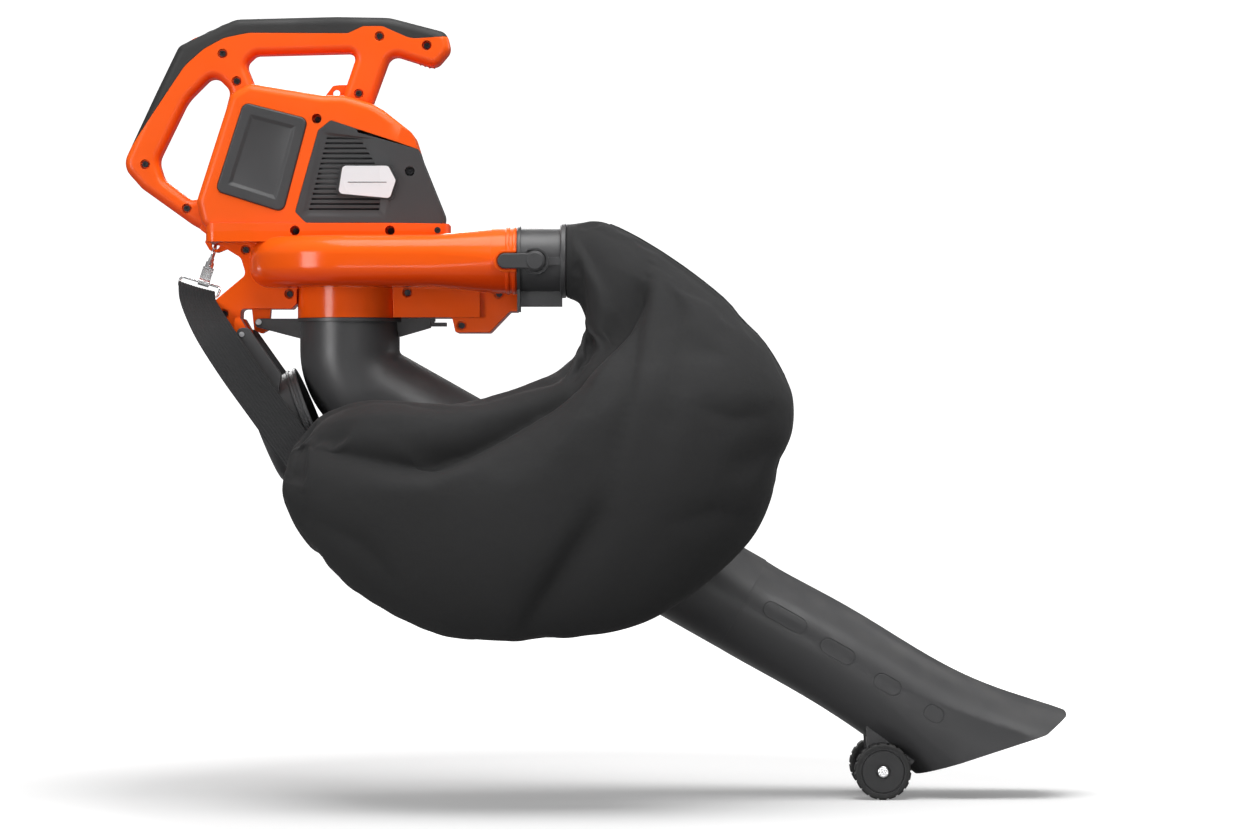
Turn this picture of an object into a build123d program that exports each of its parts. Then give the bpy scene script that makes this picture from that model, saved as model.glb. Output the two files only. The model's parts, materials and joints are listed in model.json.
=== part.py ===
"""Hand-held battery leaf vacuum that shreds leaves into a shoulder bag.

Millimetres. The origin is the centre of the harness eye on top of the body, in the mid plane.
+X points forward to the nozzle, +Z up, and -Y is the operator's right side, where the bag hangs.
The two housing halves meet at y = 0.
"""
import os
from math import cos, radians, sin

from build123d import *

os.makedirs("parts", exist_ok=True)

# ---------------------------------------------------------------- driving dimensions
SPLIT_GAP = 0.15          # each housing half stops this far from the mid plane
WALL = 3.0                # housing wall
FIT_GAP = 0.4             # visible gap around a panel let into the housing

HANDLE_HALF = 20.0        # half width of the handle bars
HANDLE_EDGE = 10.0        # rounding along the handle bars
GRIP_THICK = 2.5          # soft grip over the handle
BODY_HALF = 55.0          # half width of the motor and battery body
BODY_EDGE = 10.0
BAND_HALF = 57.0          # screw band around the foot of the body
BAND_TOP = -158.0

FAN_X = 16.0              # fan, motor and intake axis, in the mid plane
CASE_TOP = -174.0         # fan casing
CASE_BOTTOM = -234.0
CASE_RADIUS = 120.0
CASE_EDGE = 24.0
FLOOR_TOP = -170.0        # floor of the motor bay
INTAKE_BOTTOM = -270.0
INTAKE_RADIUS = 62.5
INTAKE_BORE = 58.0
EYE_RADIUS = 50.0         # opening into the fan casing

DUCT_Y = -80.0            # outlet duct axis, on the bag side
DUCT_Z = -204.0
DUCT_OUTER = 38.0
DUCT_BORE = 35.5
DUCT_END = 219.0

TUBE_RADIUS = 59.7        # suction tube
TUBE_WALL = 2.5
TUBE_SLOPE = 29.5         # degrees below horizontal
TUBE_BEND = 66.0          # bend radius of the elbow's axis
TUBE_CORNER = (16.0, -346.3)   # where the two straight axes cross, X and Z
TUBE_JOINT = 430.0        # along the sloped axis from the corner
SPIGOT_END = 500.0
NOZZLE_START = 540.0

WHEEL_X = 652.0
WHEEL_Z = -808.7
WHEEL_RADIUS = 33.5
WHEEL_INNER = 40.0
WHEEL_OUTER = 62.0
AXLE_RADIUS = 4.0
RUNNING = 0.05            # radial clearance of anything that turns

HARNESS_EYE = 4.4         # radius of the harness eye
REAR_EYE = (-145.0, -182.5)
REAR_EYE_RADIUS = 4.8
LUG_HALF = 4.0            # half thickness of the eye lugs

HINGE = (-109.0, -290.0)  # intake cover hinge, X and Z
TUBE_PIN = (-92.3, -274.6)

BAG_WALL = 1.5


# ---------------------------------------------------------------- small helpers
def outline(points, radius):
    """A closed face in the XY plane with rounded corners."""
    return make_face(FilletPolyline(*points, radius=radius, close=True))


def slab(face, low, high):
    """Stand a face drawn as X, Z upright and give it the thickness from y = low to y = high."""
    return Plane.XZ.offset(-high) * extrude(face, amount=high - low)


def soft_slab(face, low, high, edge):
    """A slab whose two broad faces have rounded rims."""
    block = extrude(face, amount=high - low)
    rims = block.faces().sort_by(Axis.Z)[0].edges() + block.faces().sort_by(Axis.Z)[-1].edges()
    return Plane.XZ.offset(-high) * fillet(rims, edge)


def inset(face, amount):
    return offset(face, -amount, kind=Kind.INTERSECTION)


def box(x, y, z):
    """A box from three (low, high) pairs."""
    size = [high - low for low, high in (x, y, z)]
    middle = [(high + low) / 2 for low, high in (x, y, z)]
    return Pos(*middle) * Box(*size)


def post(x, y, low, high, radius):
    """A cylinder along Z."""
    return Pos(x, y, (low + high) / 2) * Cylinder(radius, high - low)


def rod(x, z, low, high, radius):
    """A cylinder along Y."""
    return Pos(x, (low + high) / 2, z) * Rot(90, 0, 0) * Cylinder(radius, high - low)


def barrel(y, z, low, high, radius):
    """A cylinder along X."""
    return Pos((low + high) / 2, y, z) * Rot(0, 90, 0) * Cylinder(radius, high - low)


def stadium(x_low, x_high, z, height):
    """A face with round ends, drawn as X, Z."""
    straight = x_high - x_low - height
    return Pos((x_low + x_high) / 2, z) * SlotCenterToCenter(straight, height)


def save(shape, name):
    export_step(shape, f"parts/{name}.step")
    print(name, len(shape.solids()), round(sum(s.volume for s in shape.solids()) / 1000, 1))


def near_half(shape):
    return shape & box((-400, 400), (-200, -SPLIT_GAP), (-400, 150))


def far_half(shape):
    return shape & box((-400, 400), (SPLIT_GAP, 200), (-400, 150))


# ---------------------------------------------------------------- housing outlines, as X, Z
HANDLE_POINTS = [
    (-140, -176), (-172, -158), (-232, -115), (-256, -88), (-216, -2), (-188, 56), (-120, 88),
    (0, 91), (64, 90), (133, 72), (138, 50), (120, 29), (66, 46), (38, -30), (-40, -80),
]
HANDLE_RADII = [14, 60, 22, 22, 200, 14, 30, 200, 60, 14, 14, 14, 12, 14, 200]
TOP_OPENING = [(26, 48), (-96, 45), (-108, 34), (-98, 9), (-60, -10), (5, -14)]
TOP_OPENING_RADII = [8, 10, 10, 8, 5, 5]
REAR_OPENING = [(-146, 22), (-126, 2), (-158, -122), (-170, -131), (-206, -104), (-213, -82), (-178, -10)]
REAR_OPENING_RADII = [12, 12, 12, 12, 20, 20, 60]
BODY_POINTS = [
    (-122, -4), (-100, 8), (-14, -6), (12, -6), (46, -16), (59, -23.5), (94, -51), (103, -80),
    (138, -166), (-155, -166), (-163, -132),
]
BODY_RADII = [16, 16, 40, 16, 30, 16, 16, 16, 16, 16, 18]
GRIP_POINTS = [
    (-280, -75), (-244, -64), (-180, 32), (-157, 52), (-133, 65), (-104, 71), (15, 70.5), (33, 79),
    (56, 79), (90, 64), (134, 67), (150, 120), (-280, 120),
]
GRIP_RADII = [1, 8, 60, 30, 30, 40, 12, 8, 10, 30, 1, 1, 1]
GRILLE_POINTS = [
    (-3, -36), (-18, -48), (-45.5, -145), (-32.5, BAND_TOP), (200, BAND_TOP), (200, -66), (99, -69.5),
]
GRILLE_RADII = [4, 4, 4, 4, 1, 1, 2]
PANEL_POINTS = [(-106.6, -14.5), (-29.5, -34.3), (-59.1, -145.9), (-140.2, -120.2)]
PANEL_RADIUS = 9.0
REAR_WEB_POINTS = [
    (-170, -158), (-131, -187), (-113, -198), (-107, -218), (-144, -249), (-146, -260), (-129, -286),
    (-114, -286), (-113, -259), (-52, -259), (-46, -252), (-46, -236), (0, -200), (-60, -160),
]
REAR_WEB_RADII = [4, 10, 10, 8, 3, 4, 4, 3, 5, 2, 1, 1, 1, 1]
FRONT_WEB_POINTS = [
    (40, -200), (60, -236), (83, -269.6), (140, -269.6), (144, -287.6), (185, -287.6), (209, -262.5),
    (218, -262.5), (218, -225), (180, -200),
]
FRONT_WEB_RADII = [1, 1, 2, 3, 3, 3, 3, 1, 1, 1]
REAR_WEB_HALF = 22.0
FRONT_WEB_HALF = 34.0
FOOT_BOX_HALF = 40.0

# screws: X, Z, the y of the surface on the near side, depth of the recess, y the shank reaches
SCREWS = [
    (-135.0, 46.2, -19.5, 4, 12), (-118.1, 13.3, -19.5, 4, 12), (-227.6, -86.2, -19.5, 4, 12),
    (-177.8, -139.0, -19.5, 4, 12), (52.7, 67.1, -19.5, 4, 12), (109.0, 56.2, -19.5, 9, 10),
    (27.8, -1.6, -19.5, 3, 12), (-19.7, -34.2, -54, 20, 14), (-45.4, -167.0, -56, 20, 14),
    (67.3, -167.0, -56, 20, 14), (123.6, -166.5, -56, 5, 14), (-107.0, -188.5, -21.5, 3, 14),
    (-54.9, -241.1, -21.5, 8, 14), (87.0, -240.1, -33.5, 3, 14), (196.1, -241.6, -33.5, 3, 14),
    (151.5, -279.3, -33.5, 3, 14), (-133.3, -264.9, -21.5, 8, 14),
]
SCREW_RECESS = 5.8
SCREW_HEAD = 3.7
SCREW_SHANK = 1.9


def handle_face(shrink=0.0):
    """The handle loop with its two openings."""
    face = outline(HANDLE_POINTS, HANDLE_RADII)
    top = outline(TOP_OPENING, TOP_OPENING_RADII)
    rear = outline(REAR_OPENING, REAR_OPENING_RADII)
    if shrink:
        face = inset(face, shrink)
        top = inset(top, -shrink)
        rear = inset(rear, -shrink)
    return face - top - rear


def handle_block(shrink=0.0):
    half = HANDLE_HALF - shrink
    return soft_slab(handle_face(shrink), -half, half, HANDLE_EDGE - shrink)


def plan_trim(shrink=0.0):
    """Seen from above the body narrows towards the front."""
    half = BODY_HALF - shrink
    nose = 140 - shrink
    points = [(-240, -half), (70, -half), (nose, -34 + shrink), (nose, 34 - shrink), (70, half), (-240, half)]
    face = outline(points, [1, 40, 22, 22, 40, 1])
    return Pos(0, 0, -200) * extrude(face, amount=300)


def body_block(shrink=0.0):
    """Motor and battery body."""
    half = BODY_HALF - shrink
    face = outline(BODY_POINTS, BODY_RADII)
    if shrink:
        face = inset(face, shrink)
    return soft_slab(face, -half, half, BODY_EDGE - shrink) & plan_trim(shrink)


def band_block(shrink=0.0):
    """Screw band between the body and the fan casing."""
    half = BAND_HALF - shrink
    points = [(-152 + shrink, -half), (64, -half), (136 - shrink, -40 + shrink), (136 - shrink, 40 - shrink),
              (64, half), (-152 + shrink, half)]
    face = outline(points, [12, 40, 14, 14, 40, 12])
    return Pos(0, 0, CASE_TOP - 6) * extrude(face, amount=BAND_TOP - CASE_TOP + 6)


def case_block(shrink=0.0):
    """Round fan casing with soft rims."""
    height = CASE_TOP - CASE_BOTTOM - 2 * shrink
    drum = Cylinder(CASE_RADIUS - shrink, height)
    drum = fillet(drum.edges().filter_by(GeomType.CIRCLE), CASE_EDGE - shrink)
    return Pos(FAN_X, 0, (CASE_TOP + CASE_BOTTOM) / 2) * drum


def duct_block(shrink=0.0):
    """Outlet duct: leaves the casing tangentially and turns from a flat section into a round one."""
    height = CASE_TOP - CASE_BOTTOM - 2 * shrink
    width = 2 * (CASE_RADIUS + DUCT_Y) - 2 * shrink
    flat = RectangleRounded(width, height, CASE_EDGE - shrink)
    round_end = RectangleRounded(2 * DUCT_OUTER - 2 * shrink, 2 * DUCT_OUTER - 2 * shrink,
                                 DUCT_OUTER - shrink - 0.5)
    start = Plane((FAN_X, DUCT_Y, DUCT_Z), x_dir=(0, 1, 0), z_dir=(1, 0, 0))
    straight = start * extrude(flat, amount=104)
    middle = Plane((FAN_X + 104, DUCT_Y, DUCT_Z), x_dir=(0, 1, 0), z_dir=(1, 0, 0)) * flat
    end = Plane((FAN_X + 176, DUCT_Y, DUCT_Z), x_dir=(0, 1, 0), z_dir=(1, 0, 0)) * round_end
    flare = loft([middle, end])
    return straight + flare


def duct_mouth():
    """Round end of the duct with two raised beads."""
    mouth = barrel(DUCT_Y, DUCT_Z, FAN_X + 173, DUCT_END, DUCT_OUTER + 0.5)
    for start in (206.0, 213.5):
        bead = barrel(DUCT_Y, DUCT_Z, start, start + 4.5, DUCT_OUTER + 1.8)
        mouth += fillet(bead.edges().filter_by(GeomType.CIRCLE), 1.2)
    return mouth


def harness_lug():
    points = [(-20, -12), (-4, 9), (4, 10), (14, 10), (16, -12)]
    return slab(outline(points, [1, 4, 4, 1, 1]), -LUG_HALF, LUG_HALF)


def rear_lug():
    x, z = REAR_EYE
    points = [(x - 14, z + 6), (x - 7, z - 6), (x + 3, z - 9), (x + 20, z - 2), (x + 12, z + 14)]
    return slab(outline(points, [3, 5, 6, 3, 3]), -LUG_HALF, LUG_HALF)


def cover_ears():
    """Two lugs that carry the intake cover, hidden between its arms."""
    x, z = HINGE
    points = [(-118, -270), (-120, -284), (x - 4, z - 7), (x + 6, z - 5), (x + 4, z + 8), (-112, -270)]
    ear = outline(points, [1, 2, 3, 5, 3, 1])
    return slab(ear, -42, -15) + slab(ear, 15, 42)


def tube_hook():
    """Hook under the casing that holds the suction tube's hinge pin."""
    x, z = TUBE_PIN
    points = [(x - 9, -256), (x - 6, z - 9), (x + 3, z - 14), (x + 12, z - 9), (x + 14, -256)]
    hook = slab(outline(points, [1, 3, 4, 3, 1]), -9, 9)
    return hook - rod(x, z, -10, 10, 3.55)


def battery_face(grow=0.0):
    face = outline(PANEL_POINTS, PANEL_RADIUS)
    return offset(face, grow, kind=Kind.INTERSECTION) if grow else face


def battery_tub():
    """Well for the battery pack, open on the far side, with the terminals in its floor."""
    outside = slab(battery_face(1.0), -53, 53)
    return outside - slab(battery_face(-1.6), -43, 60)


def housing_outside():
    solid = handle_block() + body_block() + band_block()
    solid += case_block() + duct_block() + duct_mouth()
    solid += post(FAN_X, 0, INTAKE_BOTTOM, CASE_BOTTOM + 8, INTAKE_RADIUS)
    solid += soft_slab(outline(REAR_WEB_POINTS, REAR_WEB_RADII), -REAR_WEB_HALF, REAR_WEB_HALF, 0.9)
    solid += soft_slab(outline(FRONT_WEB_POINTS, FRONT_WEB_RADII), -FRONT_WEB_HALF, FRONT_WEB_HALF, 0.9)
    foot_box = box((70, 173.5), (-FOOT_BOX_HALF, FOOT_BOX_HALF), (-269.6, -230))
    solid += foot_box
    solid += harness_lug() + rear_lug() + cover_ears() + tube_hook()
    return solid


def housing_inside():
    """Hollow of the housing: motor bay, fan chamber, duct and the space in the webs."""
    bay = body_block(WALL) + (band_block(WALL) & box((-300, 300), (-100, 100), (FLOOR_TOP, BAND_TOP - WALL)))
    chamber = case_block(WALL) + duct_block(WALL)
    bore = barrel(DUCT_Y, DUCT_Z, FAN_X + 170, DUCT_END + 5, DUCT_BORE)
    intake = post(FAN_X, 0, INTAKE_BOTTOM - 5, CASE_BOTTOM, INTAKE_BORE)
    intake += post(FAN_X, 0, CASE_BOTTOM - 1, CASE_BOTTOM + 10, EYE_RADIUS)
    case_keep = post(FAN_X, 0, CASE_BOTTOM - WALL, CASE_TOP + WALL, CASE_RADIUS + WALL)
    ring_keep = post(FAN_X, 0, INTAKE_BOTTOM - 10, CASE_BOTTOM + 10, INTAKE_RADIUS + WALL)
    rear = slab(inset(outline(REAR_WEB_POINTS, REAR_WEB_RADII), WALL), WALL - REAR_WEB_HALF,
                REAR_WEB_HALF - WALL) & box((-146, -40), (-60, 60), (-284, -232))
    front = box((80, 168), (WALL - FRONT_WEB_HALF, FRONT_WEB_HALF - WALL), (-266, CASE_BOTTOM - WALL))
    duct_keep = duct_block() + duct_mouth()
    webs = rear + front - case_keep - ring_keep - duct_keep
    return bay + chamber + bore + intake + webs + handle_block(GRIP_THICK + 2.0)


def screw_bosses(outside):
    bosses = rod(SCREWS[0][0], SCREWS[0][1], SCREWS[0][2], -SCREWS[0][2], 7.5)
    for x, z, surface, _, _ in SCREWS[1:]:
        reach = -surface
        bosses += rod(x, z, surface, reach, 7.5)
    return bosses & outside


def cut_screws(solid):
    for x, z, surface, depth, reach in SCREWS:
        solid -= rod(x, z, surface - 40, surface + depth, SCREW_RECESS)
        solid -= rod(x, z, surface, reach + 2, SCREW_SHANK + 0.1)
    return solid


def grip_space():
    return slab(outline(GRIP_POINTS, GRIP_RADII), -40, 40)


def grille_space(gap=0.0):
    face = outline(GRILLE_POINTS, GRILLE_RADII)
    if gap:
        face = inset(face, gap)
    return slab(face, -70, 70)


def housing():
    """Both halves of the clamshell, before they are parted."""
    outside = housing_outside()
    solid = outside - housing_inside()
    solid += screw_bosses(outside)
    tub_room = battery_tub() & outside
    solid += tub_room
    solid -= slab(battery_face(-1.6), -43, 80)
    solid -= handle_skin_room()
    solid -= grille_space() & box((-60, 200), (-80, 80), (BAND_TOP, 0))
    solid -= slab(battery_face(), -80, BAY_COVER_BACK)
    solid -= post(FAN_X, 0, CASE_TOP - 10, FLOOR_TOP + 5, 14)
    solid -= rod(0, 0, -20, 20, HARNESS_EYE)
    solid -= rod(*REAR_EYE, -40, 40, REAR_EYE_RADIUS)
    solid -= rod(*HINGE, -60, 60, 3.0 + RUNNING)
    solid -= panel_room()
    solid -= switch_room()
    return cut_screws(solid)


BAY_COVER_BACK = -47.0


def handle_skin_room():
    """What the soft grip takes away from the handle."""
    core = handle_block(GRIP_THICK + 0.05)
    return (handle_block() - core) & grip_space()


def soft_grip():
    skin = handle_block() - handle_block(GRIP_THICK)
    seam = slab(inset(outline(GRIP_POINTS, GRIP_RADII), 0.3), -40, 40)
    return skin & seam


# ---------------------------------------------------------------- control panel on the rear corner
PANEL_MIDDLE = (-154.0, 72.0)
PANEL_TILT = 25.2          # degrees, the facet climbs forward
PANEL_SIZE = (58.0, 25.0)
PANEL_THICK = 3.0
BUTTON_TRAVEL = 1.5


def on_facet(shape):
    """Place a shape drawn flat, top at z = 0, on the sloped facet of the handle."""
    x, z = PANEL_MIDDLE
    return Pos(x, 0, z) * Rot(0, -PANEL_TILT, 0) * shape


def panel_room():
    plate = RectangleRounded(PANEL_SIZE[0] + 0.6, PANEL_SIZE[1] + 0.6, 6.3)
    return on_facet(Pos(0, 0, -PANEL_THICK - 0.1) * extrude(plate, amount=20))


def switch_room():
    """Clear space under the buttons."""
    return on_facet(box((-26, 26), (-10, 10), (-12, -PANEL_THICK)))


BUTTONS = {"power_button": (-17.0, 6.0), "speed_button": (2.0, 6.0), "boost_button": (19.0, 5.0)}


def control_panel():
    plate = extrude(RectangleRounded(*PANEL_SIZE, 6), amount=-PANEL_THICK)
    for x, radius in BUTTONS.values():
        plate -= Pos(x, 0, -PANEL_THICK / 2) * Cylinder(radius + 0.3, PANEL_THICK * 2)
    return on_facet(plate)


def button(name):
    """A push button with a collar that keeps it under the panel."""
    x, radius = BUTTONS[name]
    cap = Pos(x, 0, -1.5) * Cylinder(radius, 6)
    cap = fillet(cap.edges().filter_by(GeomType.CIRCLE).sort_by(Axis.Z)[-1], 1.0)
    collar = Pos(x, 0, -4.2) * Cylinder(radius + 1.2, 1.4)
    return on_facet(cap + collar)


# ---------------------------------------------------------------- covers let into the body
GRILLE_WALL = 4.5
FIELD_RIM = [(-15, -49), (50, -58), (76, -104), (61, -152), (-39, -151)]
FIELD_FLOOR = [(-8, -54), (33, -57), (59, -102), (55, -145), (-31, -145)]
FIELD_DEPTH = 2.2


def sunk(rim, floor, top, depth):
    """A recess with sloping walls, from its rim at y = top down to its floor."""
    return loft([Plane.XZ.offset(-top) * rim, Plane.XZ.offset(-top - depth) * floor])


def grille_slots():
    """Horizontal cooling slots inside the leaning field."""
    slots = None
    rows = 15
    for row in range(rows):
        z = -57.5 - row * 6.0
        line = slab(Pos(20, z) * Rectangle(160, 2.4), -70, -30)
        slots = line if slots is None else slots + line
    return slots & slab(inset(outline(FIELD_FLOOR, 2), 1.0), -70, -30)


def grille_cover(side):
    """Motor cover of one side: side is -1 for the near one and 1 for the far one."""
    shell = body_block() - body_block(GRILLE_WALL)
    cover = shell & grille_space(FIT_GAP) & box((-60, 200), (-80, 80), (BAND_TOP + FIT_GAP, 0))
    field = sunk(outline(FIELD_RIM, 3), outline(FIELD_FLOOR, 3), -BODY_HALF - 0.2, FIELD_DEPTH)
    x, z = 90.5, -96.4
    boss = rod(x, z, -52, -6, 7) & body_block()
    cover = near_half(cover + boss) - field - grille_slots()
    if side < 0:
        cover += slab(inset(badge_face(), 2.5), BADGE_BACK + 0.1, -51)
    cover -= rod(x, z, -80, -40, SCREW_RECESS)
    cover -= rod(x, z, -80, 0, SCREW_SHANK + 0.1)
    slot = slab(outline([(26, -46.5), (92, -64), (92, -68), (30, -51)], 1), -70, -47)
    cover -= slot
    return cover if side < 0 else mirror(cover, Plane.XZ)


BADGE_BACK = -55.3


def badge_face():
    return outline([(10.4, -90.9), (66.7, -90.9), (75.5, -107.7), (68.6, -128.4), (5.5, -122.5)], 3)


def badge_plate():
    """Blank name plate: a frame with a raised face, standing on a pad of the near motor cover."""
    frame = slab(offset(badge_face(), 2.5), -58.5, BADGE_BACK)
    return frame + soft_slab(badge_face(), -60.0, -57, 0.8)


def battery_bay_cover():
    """Cover panel over the closed side of the battery bay, with a shallow tray in it."""
    face = inset(battery_face(), FIT_GAP)
    plate = soft_slab(face, -57.5, BAY_COVER_BACK - 0.3, 2.2)
    return plate - sunk(inset(battery_face(), 11), inset(battery_face(), 17), -57.7, 3.2)


# ---------------------------------------------------------------- battery
def battery_pack():
    pack = soft_slab(inset(battery_face(), 2.2), -36, 62, 3)
    pack -= box((-88, -60), (-40, -30), (-96, -64))
    x, z = RELEASE
    return pack - rod(x, z, 40, 70, 8.4) - rod(x, z, 40, 55, 10.2)


RELEASE = (-66.0, -55.0)


def battery_release_button():
    x, z = RELEASE
    cap = rod(x, z, 45, 64, 8.0)
    cap = fillet(cap.edges().filter_by(GeomType.CIRCLE).sort_by(Axis.Y)[-1], 1.5)
    return cap + rod(x, z, 48, 52, 9.8)


def battery_terminal_block():
    block = box((-87, -61), (-42.9, -31), (-95, -65))
    for z in (-90, -80, -70):
        block -= box((-84, -64), (-36, -30), (z - 1.2, z + 1.2))
    return block


# ---------------------------------------------------------------- motor and fan
MOTOR_BASE = FLOOR_TOP + 4.0
BEARING_OUTER = 11.0
SHAFT_RADIUS = 4.0


def motor_mount_plate():
    plate = post(FAN_X, 0, FLOOR_TOP, MOTOR_BASE, 40) + post(FAN_X, 0, MOTOR_BASE, MOTOR_BASE + 6, 16)
    for angle in range(45, 360, 90):
        x = FAN_X + 34 * cos(radians(angle))
        plate -= post(x, 34 * sin(radians(angle)), FLOOR_TOP - 1, MOTOR_BASE + 1, 2.2)
    plate -= post(FAN_X, 0, FLOOR_TOP - 1, MOTOR_BASE + 5, BEARING_OUTER)
    return plate - post(FAN_X, 0, FLOOR_TOP - 1, MOTOR_BASE + 10, SHAFT_RADIUS + 1.5)


def bearing(low):
    ring = post(FAN_X, 0, low, low + 7, BEARING_OUTER - 0.02)
    return ring - post(FAN_X, 0, low - 1, low + 8, SHAFT_RADIUS + RUNNING)


def motor_stator():
    """Twelve wound teeth on a tube that stands on the mounting plate."""
    low, high = MOTOR_BASE + 6, -108
    core = post(FAN_X, 0, low, high + 7, 14)
    for tooth in range(12):
        arm = Pos(19, 0, 0) * Box(12, 5.4, 30) + Pos(26, 0, 0) * Box(2.4, 11, 34)
        core += Pos(FAN_X, 0, -132) * Rot(0, 0, tooth * 30) * arm
    core -= post(FAN_X, 0, low - 1, high + 8, SHAFT_RADIUS + 1.5)
    return core - post(FAN_X, 0, high, high + 8, BEARING_OUTER)


def motor_rotor():
    """Bell around the stator, with the shaft that carries the fan."""
    bell = post(FAN_X, 0, -156, -94, 34) - post(FAN_X, 0, -157, -97, 30)
    for hole in range(6):
        bell -= Pos(FAN_X, 0, -95) * Rot(0, 0, hole * 60) * Pos(20, 0, 0) * Cylinder(5, 10)
    shaft = post(FAN_X, 0, -236, -95, SHAFT_RADIUS)
    return bell + post(FAN_X, 0, -99.5, -95, 8) + shaft


def fan_impeller():
    """Back plate, eight swept blades and a hub."""
    wheel = post(FAN_X, 0, -183, -180, 104) + post(FAN_X, 0, -214, -180, 14)
    blade = slab_up(RectangleRounded(70, 3.0, 1.4), -216, -182)
    for number in range(8):
        wheel += Pos(FAN_X, 0, 0) * Rot(0, 0, number * 45) * Pos(60, -16, 0) * Rot(0, 0, -22) * blade
    return wheel - post(FAN_X, 0, -240, -170, SHAFT_RADIUS)


def slab_up(face, low, high):
    return Pos(0, 0, low) * extrude(face, amount=high - low)


def mulching_blade():
    bar = slab_up(RectangleRounded(92, 18, 3), -220, -217)
    bar = Pos(FAN_X, 0, 0) * Rot(0, 0, 20) * bar
    return bar - post(FAN_X, 0, -225, -210, SHAFT_RADIUS)


def fan_nut():
    nut = slab_up(RegularPolygon(8, 6), -227, -220)
    return Pos(FAN_X, 0, 0) * nut - post(FAN_X, 0, -230, -210, SHAFT_RADIUS)


def controller_board():
    board = box((10, 80), (42, 44), (-152, -92))
    for x, z, size in ((25, -110, 14), (50, -120, 18), (65, -138, 10)):
        board += box((x - size / 2, x + size / 2), (37, 42.5), (z - size / 2, z + size / 2))
    return board


def wiring_loom():
    """Lead from the battery terminals under the bay to the controller board."""
    route = [(-90, -44.5, -150), (-40, -44.5, -153), (-24, -30, -154), (-24, 43, -154), (20, 46.8, -155),
             (20, 46.8, -130)]
    path = FilletPolyline(*route, radius=7)
    return sweep(Plane(route[0], z_dir=path % 0) * Circle(2.2), path=path)


def interlock_switch():
    return box((-96, -76), (-8, 8), (-255, -243)) + box((-88, -84), (-3, 3), (-256, -250))


def housing_screws():
    screws = []
    for x, z, surface, depth, reach in SCREWS + [(90.5, -96.4, -44, 4, -7)]:
        seat = surface + depth
        head = rod(x, z, seat - 3.4, seat, SCREW_HEAD) - rod(x, z, seat - 4, seat - 1.6, 1.9)
        screws.append(head + rod(x, z, seat, reach, SCREW_SHANK))
    return Compound(screws)


# ---------------------------------------------------------------- bag adapter and latch
LATCH_PIVOT = (230.0, -122.0)      # X and Y of the latch pin
LATCH_Z = -206.0


def bag_adapter():
    """Sleeve between the outlet and the bag, with a flange at each end and a keel below."""
    z, y = DUCT_Z, DUCT_Y
    sleeve = barrel(y, z, DUCT_END + 0.4, 277, DUCT_OUTER + 0.6)
    flange = barrel(y, z, DUCT_END + 0.4, 223.5, DUCT_OUTER + 3)
    rim = barrel(y, z, 270, 277, 44)
    sleeve += fillet(flange.edges().filter_by(GeomType.CIRCLE), 0.8)
    sleeve += fillet(rim.edges().filter_by(GeomType.CIRCLE), 2.0)
    sleeve += box((DUCT_END + 0.4, 272), (y - 13, y + 13), (-258, z - 30))
    sleeve += box((DUCT_END + 0.4, 223), (y - 22, y + 22), (-264, z - 30))
    sleeve += box((256, 272), (y - 42, y - 36), (LATCH_Z - 4.5, LATCH_Z + 4.5))
    sleeve += barrel(y, z, 199, DUCT_END + 1, DUCT_BORE - 0.3)
    ring = rod(241, LATCH_Z, -123, -110, 16) - rod(241, LATCH_Z, -130, -117.5, 13)
    ring -= box((200, 240), (-130, -117.5), (LATCH_Z - 13, LATCH_Z + 13))
    sleeve += ring - barrel(y, z, 190, 280, DUCT_OUTER)
    for side in (-1, 1):
        centre = LATCH_Z + side * 6.2
        sleeve += box((LATCH_PIVOT[0] - 3, LATCH_PIVOT[0] + 3), (-124, -112), (centre - 1.6, centre + 1.6))
    sleeve -= barrel(y, z, 190, 280, DUCT_BORE - 2.6)
    return sleeve - post(*LATCH_PIVOT, LATCH_Z - 9, LATCH_Z + 9, 1.25)


def adapter_latch():
    """Rocking lever whose long arm reaches over the housing."""
    arm = stadium(197, 246, LATCH_Z, 18) + Pos(241, LATCH_Z) * Circle(12)
    lever = soft_slab(arm, -131.5, -125.5, 2.0)
    lever += soft_slab(Pos(241, LATCH_Z) * Circle(10), -133, -128, 1.2)
    rib = box((LATCH_PIVOT[0] - 3, LATCH_PIVOT[0] + 3), (-127, -119.8), (LATCH_Z - 4.3, LATCH_Z + 4.3))
    rib = rib + post(*LATCH_PIVOT, LATCH_Z - 4.3, LATCH_Z + 4.3, 2.2)
    return lever + rib - post(*LATCH_PIVOT, LATCH_Z - 9, LATCH_Z + 9, 1.2 + RUNNING)


def latch_pin():
    return post(*LATCH_PIVOT, LATCH_Z - 7.8, LATCH_Z + 7.8, 1.2)


def latch_pocket():
    """Raised rim on the housing around the tip of the latch."""
    outer = slab(stadium(192.5, 240, LATCH_Z, 25), -124, -100)
    inner = slab(stadium(195.5, 250, LATCH_Z, 20.5), -140, -90)
    rim = outer - inner - barrel(DUCT_Y, DUCT_Z, 150, 260, DUCT_OUTER)
    return rim & box((190, DUCT_END), (-140, -90), (-240, -170))


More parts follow.
